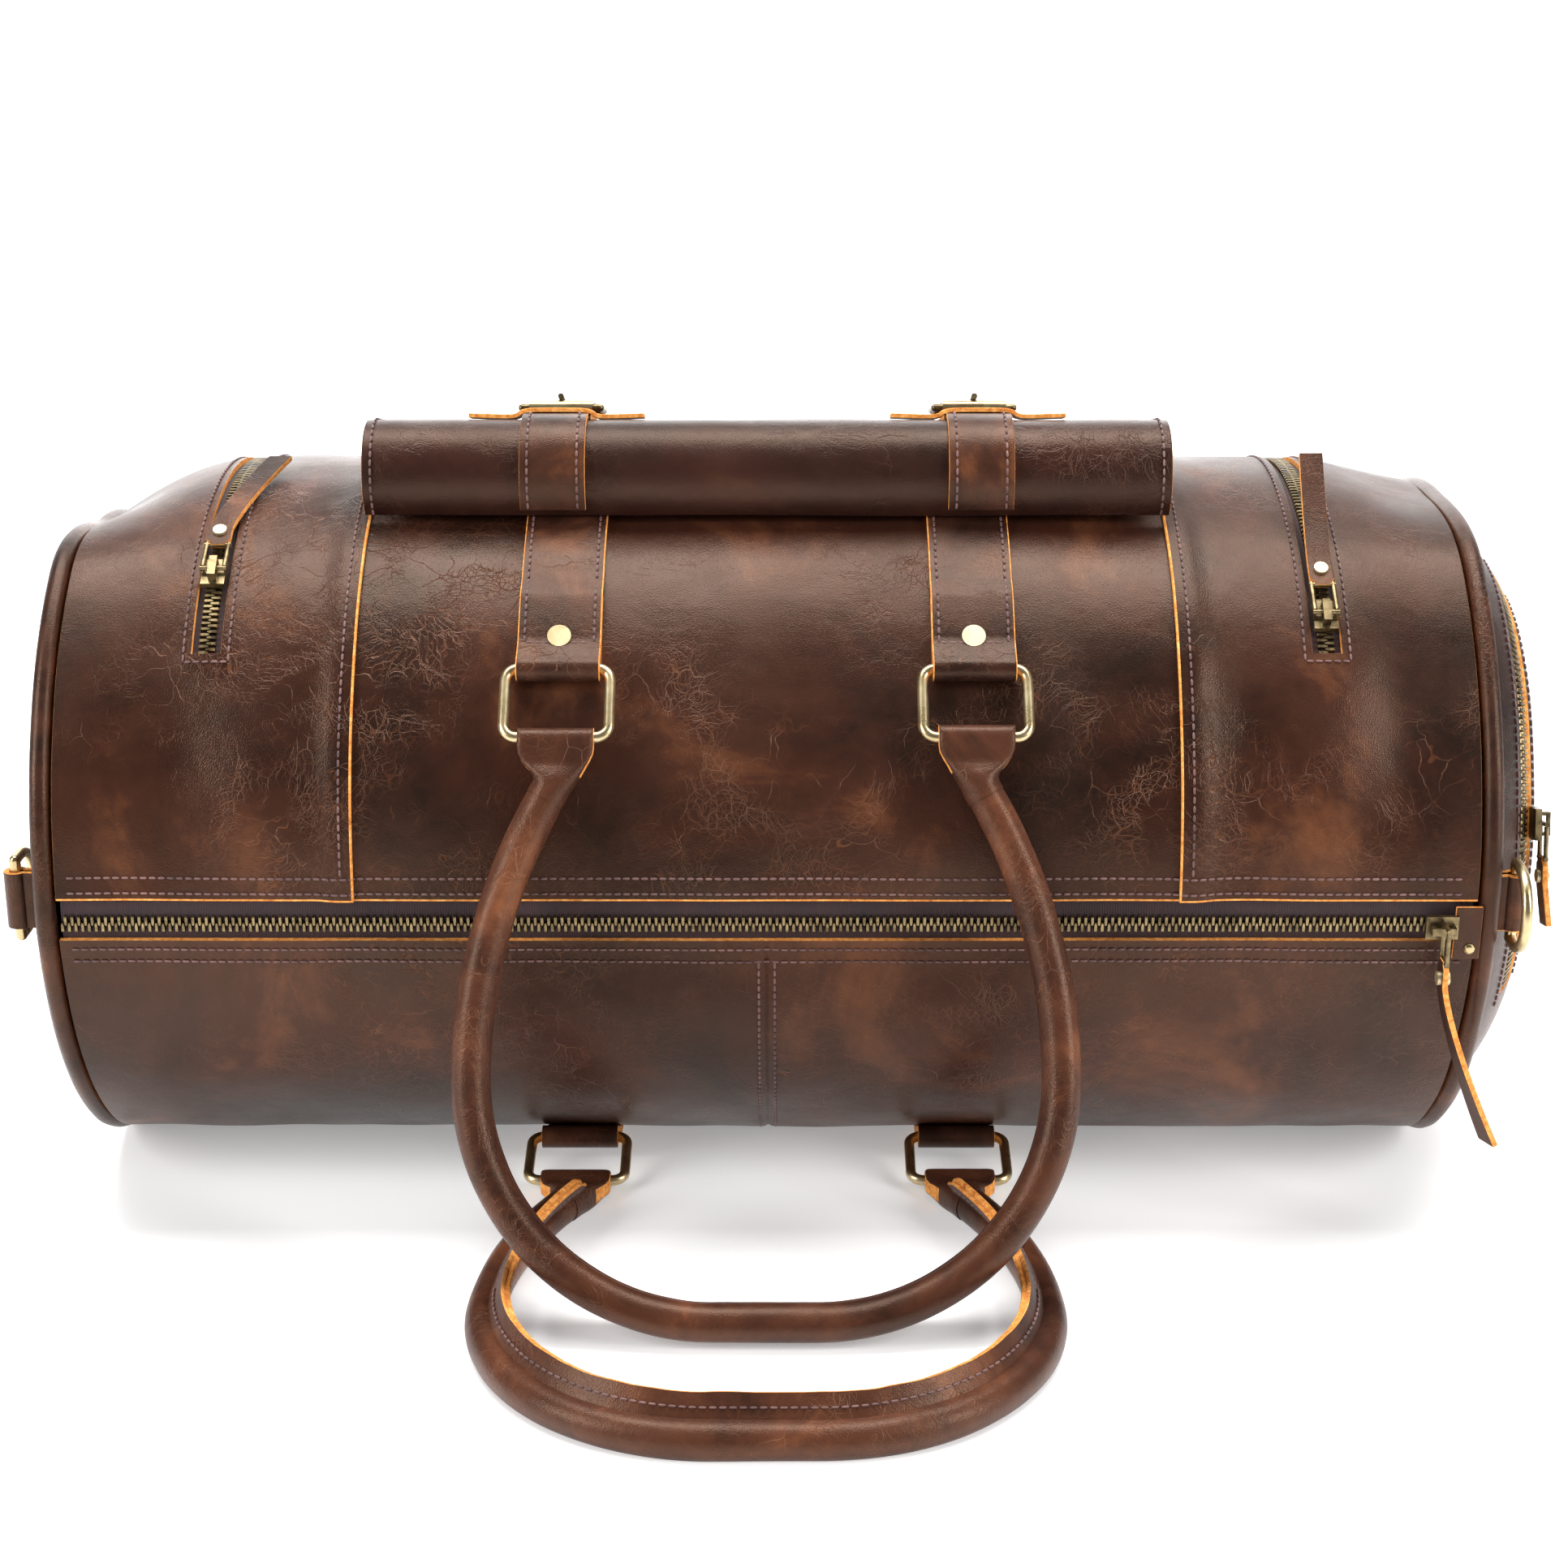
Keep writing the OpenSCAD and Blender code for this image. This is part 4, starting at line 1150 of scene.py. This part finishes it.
def grip_tab(grip, from_end):
    """Folded leather that wraps a ring's bar, narrows and runs onto the tube."""
    loop_r = BAR_R + STRAP
    tube = TUBE_R + 0.25 * MM
    square, ellipse = 9, 2
    sections = []
    for share in (-1.0, -0.9, -0.7, -0.4):
        deep = loop_r * math.sqrt(1 - share * share) + 0.1 * MM
        sections.append((0, share * loop_r, TAB_HALF, deep, square + 1))
    for step in range(grip.first + 2):
        d = step * GRIP_STEP
        t = smooth((d - 3 * MM) / (15 * MM))
        pinch = 1 - 0.30 * hump(d, 8 * MM, 4 * MM)
        deep = mix(loop_r, tube, t) * pinch
        sections.append((step, 0, mix(TAB_HALF, tube, t), deep, mix(square, ellipse, t)))
    rings = []
    for step, shift, wide, deep, power in sections:
        i = len(grip.line) - 1 - step if from_end else step
        rings.append([p + grip.down * shift for p in grip.ring(i, wide, deep, power)])
    return loft("tab", rings, HANDLES, grip.body, sharp=55,
                kind=lambda i, j: 1 if j % 12 in (0, 11) and i < 9 else 0)


def handle(name, flange_side, flange_tilt):
    """A rolled handle with its two folded tabs and the stitched flange along its inside."""
    grip = Grip(name, flange_side, flange_tilt)
    grip_tube(grip)
    grip_flange(grip)
    sew_flange(grip)
    joined(f"{name}_handle_tabs", [grip_tab(grip, from_end) for from_end in (False, True)])


# ---- rings for a shoulder strap ----


def d_ring_tabs():
    """Each tab leaves the piping, turns around its D-ring's bar and goes back."""
    neck = 7 * MM
    for side, name in ((-1, "left"), (1, "right")):
        bar = joint_at(f"{name}_d_ring_swing")
        r = BAR_R + STRAP / 2
        root = abs(bar.x) - HALF - 6 * MM
        near = [(root, 1.6 * MM), (neck, 2.2 * MM)]
        line = [bar + Vector((-side * x, -y, 0)) for x, y in near]
        for t in spread(-60, 240, 15):
            turn = math.radians(t - 90)
            line.append(bar + Vector((side * math.cos(turn) * r, math.sin(turn) * r, 0)))
        line += [bar + Vector((-side * x, y, 0)) for x, y in reversed(near)]
        ribbon(f"d_ring_tab_{name}", line, Vector((0, 0, 1)), 11 * MM, STRAP, STRAPS, "bag",
               nodes=[f"d_ring_tab_{name}"], slot="leather")


def metal_nodes():
    """Finishes on the CAD's own metal parts."""
    bright = ["front_rings", "back_rings", "d_ring_left", "d_ring_right", "buckle_roller_left",
              "buckle_roller_right"]
    pale = ["strap_rivets", "main_pull_rivet", "left_pull_rivet", "right_pull_rivet", "end_pull_rivet"]
    dull = ["main_slider", "left_slider", "right_slider", "end_slider", "main_pull_wire", "left_pull_wire",
            "right_pull_wire", "end_pull_wire", "buckle_frames", "buckle_prong_left", "buckle_prong_right"]
    for names, material in ((bright, BRASS), (pale, PALE), (dull, ANTIQUE)):
        for name in names:
            mesh = frame["nodes"][name].data
            mesh.materials.clear()
            mesh.materials.append(material)


# ---- stage ----


def backdrop():
    """A pale floor that curves up behind the bag."""
    below, start, curve_r, half = -0.0004, 2.0, 1.0, 4.0
    rows = [(-3.0, below), (start, below)]
    for t in range(10, 91, 10):
        turn = math.radians(t)
        rows.append((start + curve_r * math.sin(turn), curve_r * (1 - math.cos(turn)) + below))
    rows.append((start + curve_r, 4.0))
    verts = [Vector((x, y, z)) for y, z in rows for x in (-half, half)]
    mesh = bpy.data.meshes.new("floor")
    mesh.from_pydata(verts, [], [(2 * i, 2 * i + 1, 2 * i + 3, 2 * i + 2) for i in range(len(rows) - 1)])
    mesh.polygons.foreach_set("use_smooth", [True] * len(mesh.polygons))
    mesh.materials.append(floor_paint())
    floor = bpy.data.objects.new("floor", mesh)
    bpy.context.scene.collection.objects.link(floor)


def softbox(name, place, aim, width, height, power):
    light = bpy.data.lights.new(name, "AREA")
    light.shape = "RECTANGLE"
    light.size = width
    light.size_y = height
    light.energy = power
    lamp = bpy.data.objects.new(name, light)
    lamp.location = place
    lamp.rotation_euler = (Vector(aim) - lamp.location).to_track_quat("-Z", "Y").to_euler()
    bpy.context.scene.collection.objects.link(lamp)


def studio():
    """White surroundings, a broad light above, one at each side and one on the paper behind."""
    world = bpy.data.worlds.new("studio")
    world.use_nodes = True
    surroundings = world.node_tree.nodes["Background"]
    surroundings.inputs["Color"].default_value = (1, 1, 1, 1)
    surroundings.inputs["Strength"].default_value = 0.16
    bpy.context.scene.world = world
    softbox("top", (0, 0.15, 1.7), (0, 0, 0.1), 1.9, 0.8, 46)
    softbox("left", (-1.5, -0.9, 0.9), (0, -0.1, 0.12), 0.5, 1.2, 24)
    softbox("right", (1.5, -0.9, 0.9), (0, -0.1, 0.12), 0.5, 1.2, 24)
    softbox("back", (0, 1.5, 1.8), (0, 2.8, 1.0), 3.0, 1.0, 110)
    bpy.context.scene.view_settings.view_transform = "Standard"


def camera():
    lens = bpy.data.cameras.new("camera")
    lens.lens = 61
    lens.sensor_width = 36
    view = bpy.data.objects.new("camera", lens)
    elevation = math.radians(18.5)
    distance = 8 * BAG_R
    sideways = 6.5 * MM
    view.location = (sideways, -distance * math.cos(elevation), AXIS + distance * math.sin(elevation))
    aim = Vector((sideways, 0, AXIS + 3 * MM))
    view.rotation_euler = (aim - view.location).to_track_quat("-Z", "Y").to_euler()
    bpy.context.scene.collection.objects.link(view)
    bpy.context.scene.camera = view


front_panels()
back_panels()
end_panels()
piping()
lining()
main_zip()
side_zips()
end_zip()
zip_end_tab()
side_pull("left_pull", -7.5 * MM, 15 * MM)
side_pull("right_pull", 8.5 * MM, 1 * MM)
main_pull()
end_pull()
pocket_flap()
pocket_body()
buckle_straps()
strap_keepers()
handle_straps("front", 1, 76, 49.6, 76)
handle_straps("back", -1, -152, -72.7, -80)
handle("front", 1, 75)
handle("back", -1, 58)
d_ring_tabs()
for sewn in list(THREADS):
    sew(sewn)
metal_nodes()
backdrop()
studio()
camera()
